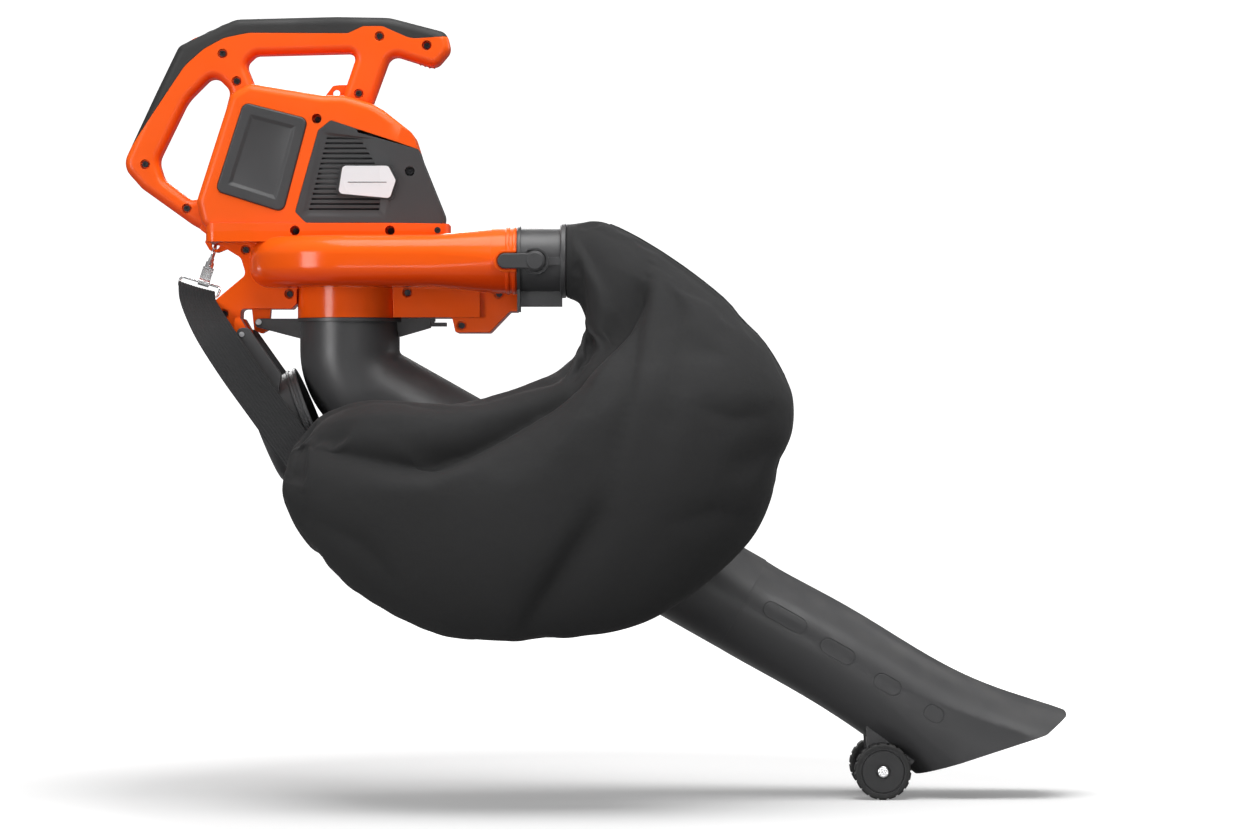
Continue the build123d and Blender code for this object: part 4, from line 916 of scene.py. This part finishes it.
CAD_LOW, CAD_HIGH = cad_bounds
CENTRE = (CAD_LOW + CAD_HIGH) / 2
FLOOR = CAD_LOW.z
FLOOR_REACH = 9.0
SWEEP_RADIUS = 1.4
SWEEP_STEPS = 24
WALL_HEIGHT = 6.0
GLOW_STARTS = 0.55           # the paper shines from here outwards, fully from GLOW_FULL on
GLOW_FULL = 1.35
WALL_GLOW = 1.0
FLOOR_GLOW = 0.22
ROOM_LOW = 0.06
ROOM_HIGH = 0.40


def studio_finish():
    """Plain pale paper, near white to the camera, but throwing only a little light on the object."""
    surface = Surface("studio_paper", 1 * MM)
    tree = surface.tree
    seen = add_node(tree, "ShaderNodeLightPath").outputs["Is Camera Ray"]
    cloudy = noise_value(tree, surface.position, 1.5, 2)
    pale = mix_colour(tree, cloudy, (0.90, 0.90, 0.90, 1), (0.93, 0.93, 0.93, 1))
    colour = mix_colour(tree, seen, (0.45, 0.45, 0.45, 1), pale)
    away = add_node(tree, "ShaderNodeVectorMath", {0: surface.position, 1: (CENTRE.x, 0, FLOOR)},
                    operation="DISTANCE").outputs["Value"]
    further = spread(tree, away, GLOW_STARTS, GLOW_FULL, FLOOR_GLOW, WALL_GLOW)
    glow = maths(tree, "MULTIPLY", seen, further)
    return surface.output(**{"Base Color": colour, "Roughness": 0.9, "Specular IOR Level": 0.1,
                             "Emission Color": (1, 1, 1, 1), "Emission Strength": glow})


def build_floor():
    """Paper sweep: flat under the object, curving up into a wall behind it."""
    profile = [(-FLOOR_REACH, 0.0), (FLOOR_REACH, 0.0)]
    for step in range(1, SWEEP_STEPS + 1):
        angle = math.pi / 2 * step / SWEEP_STEPS
        profile.append((FLOOR_REACH + SWEEP_RADIUS * math.sin(angle),
                        SWEEP_RADIUS * (1 - math.cos(angle))))
    profile.append((FLOOR_REACH + SWEEP_RADIUS, WALL_HEIGHT))
    verts = []
    for y, z in profile:
        verts += [(-FLOOR_REACH, y, FLOOR + z), (FLOOR_REACH, y, FLOOR + z)]
    faces = [(2 * n, 2 * n + 1, 2 * n + 3, 2 * n + 2) for n in range(len(profile) - 1)]
    floor = new_piece("studio_floor", verts, faces, studio_finish())


def softbox(name, place, size, power):
    """A rectangular lamp aimed at the middle of the object; place is measured from there."""
    light = bpy.data.lights.new(name, "AREA")
    light.shape = "RECTANGLE"
    light.size, light.size_y = size
    light.energy = power
    lamp = bpy.data.objects.new(name, light)
    bpy.context.scene.collection.objects.link(lamp)
    lamp.location = CENTRE + Vector(place)
    lamp.rotation_mode = "QUATERNION"
    lamp.rotation_quaternion = (-Vector(place)).to_track_quat("-Z", "Y")
    return lamp


def keep_off_floor(lamps):
    """These lamps light the object only, so that its one soft shadow lies below it."""
    skipped = bpy.data.collections.new("lit_by_overhead_only")
    skipped.objects.link(bpy.data.objects["studio_floor"])
    skipped.collection_objects[0].light_linking.link_state = "EXCLUDE"
    for lamp in lamps:
        lamp.light_linking.receiver_collection = skipped


def build_lights():
    """A dim room, brighter overhead and white where the camera sees it, and six softboxes."""
    world = bpy.data.worlds.new("studio_fill")
    world.use_nodes = True
    tree = world.node_tree
    direction = add_node(tree, "ShaderNodeTexCoord").outputs["Generated"]
    height = add_node(tree, "ShaderNodeSeparateXYZ", {"Vector": direction}).outputs["Z"]
    ceiling = spread(tree, height, 0.0, 0.9, ROOM_LOW, ROOM_HIGH)
    seen = add_node(tree, "ShaderNodeLightPath").outputs["Is Camera Ray"]
    strength = maths(tree, "MAXIMUM", ceiling, seen)
    tree.links.new(strength, tree.nodes["Background"].inputs["Strength"])
    tree.nodes["Background"].inputs["Color"].default_value = (1, 1, 1, 1)
    bpy.context.scene.world = world
    softbox("overhead", (0.2, -0.5, 2.3), (2.2, 1.6), 58)
    key = softbox("key_right", (1.2, -2.4, 2.1), (2.0, 0.5), 36)
    fill = softbox("fill_left", (-2.6, -2.4, 0.2), (1.0, 1.8), 56)
    low = softbox("fill_low", (0.3, -3.4, -0.7), (2.6, 0.8), 66)
    edge = softbox("right_edge", (2.3, 1.2, 1.0), (0.6, 1.6), 14)
    back = softbox("fill_back", (-0.8, 3.0, 1.6), (2.0, 1.0), 45)
    keep_off_floor([key, fill, low, edge, back])


CAMERA_DISTANCE = 4.6
CAMERA_LENS = 110.8
SENSOR = 36.0
AIM_RIGHT = 0.0321
AIM_DOWN = 0.0102


def build_camera():
    """Level camera on the operator's right, aimed a little right of and below the middle."""
    data = bpy.data.cameras.new("camera")
    data.sensor_width = SENSOR
    data.lens = CAMERA_LENS
    camera = bpy.data.objects.new("camera", data)
    bpy.context.scene.collection.objects.link(camera)
    camera.location = (CENTRE.x + AIM_RIGHT, -CAMERA_DISTANCE, CENTRE.z - AIM_DOWN)
    camera.rotation_euler = (math.pi / 2, 0, 0)
    bpy.context.scene.camera = camera


build_floor()
build_lights()
build_camera()
bpy.context.scene.view_settings.view_transform = "Standard"
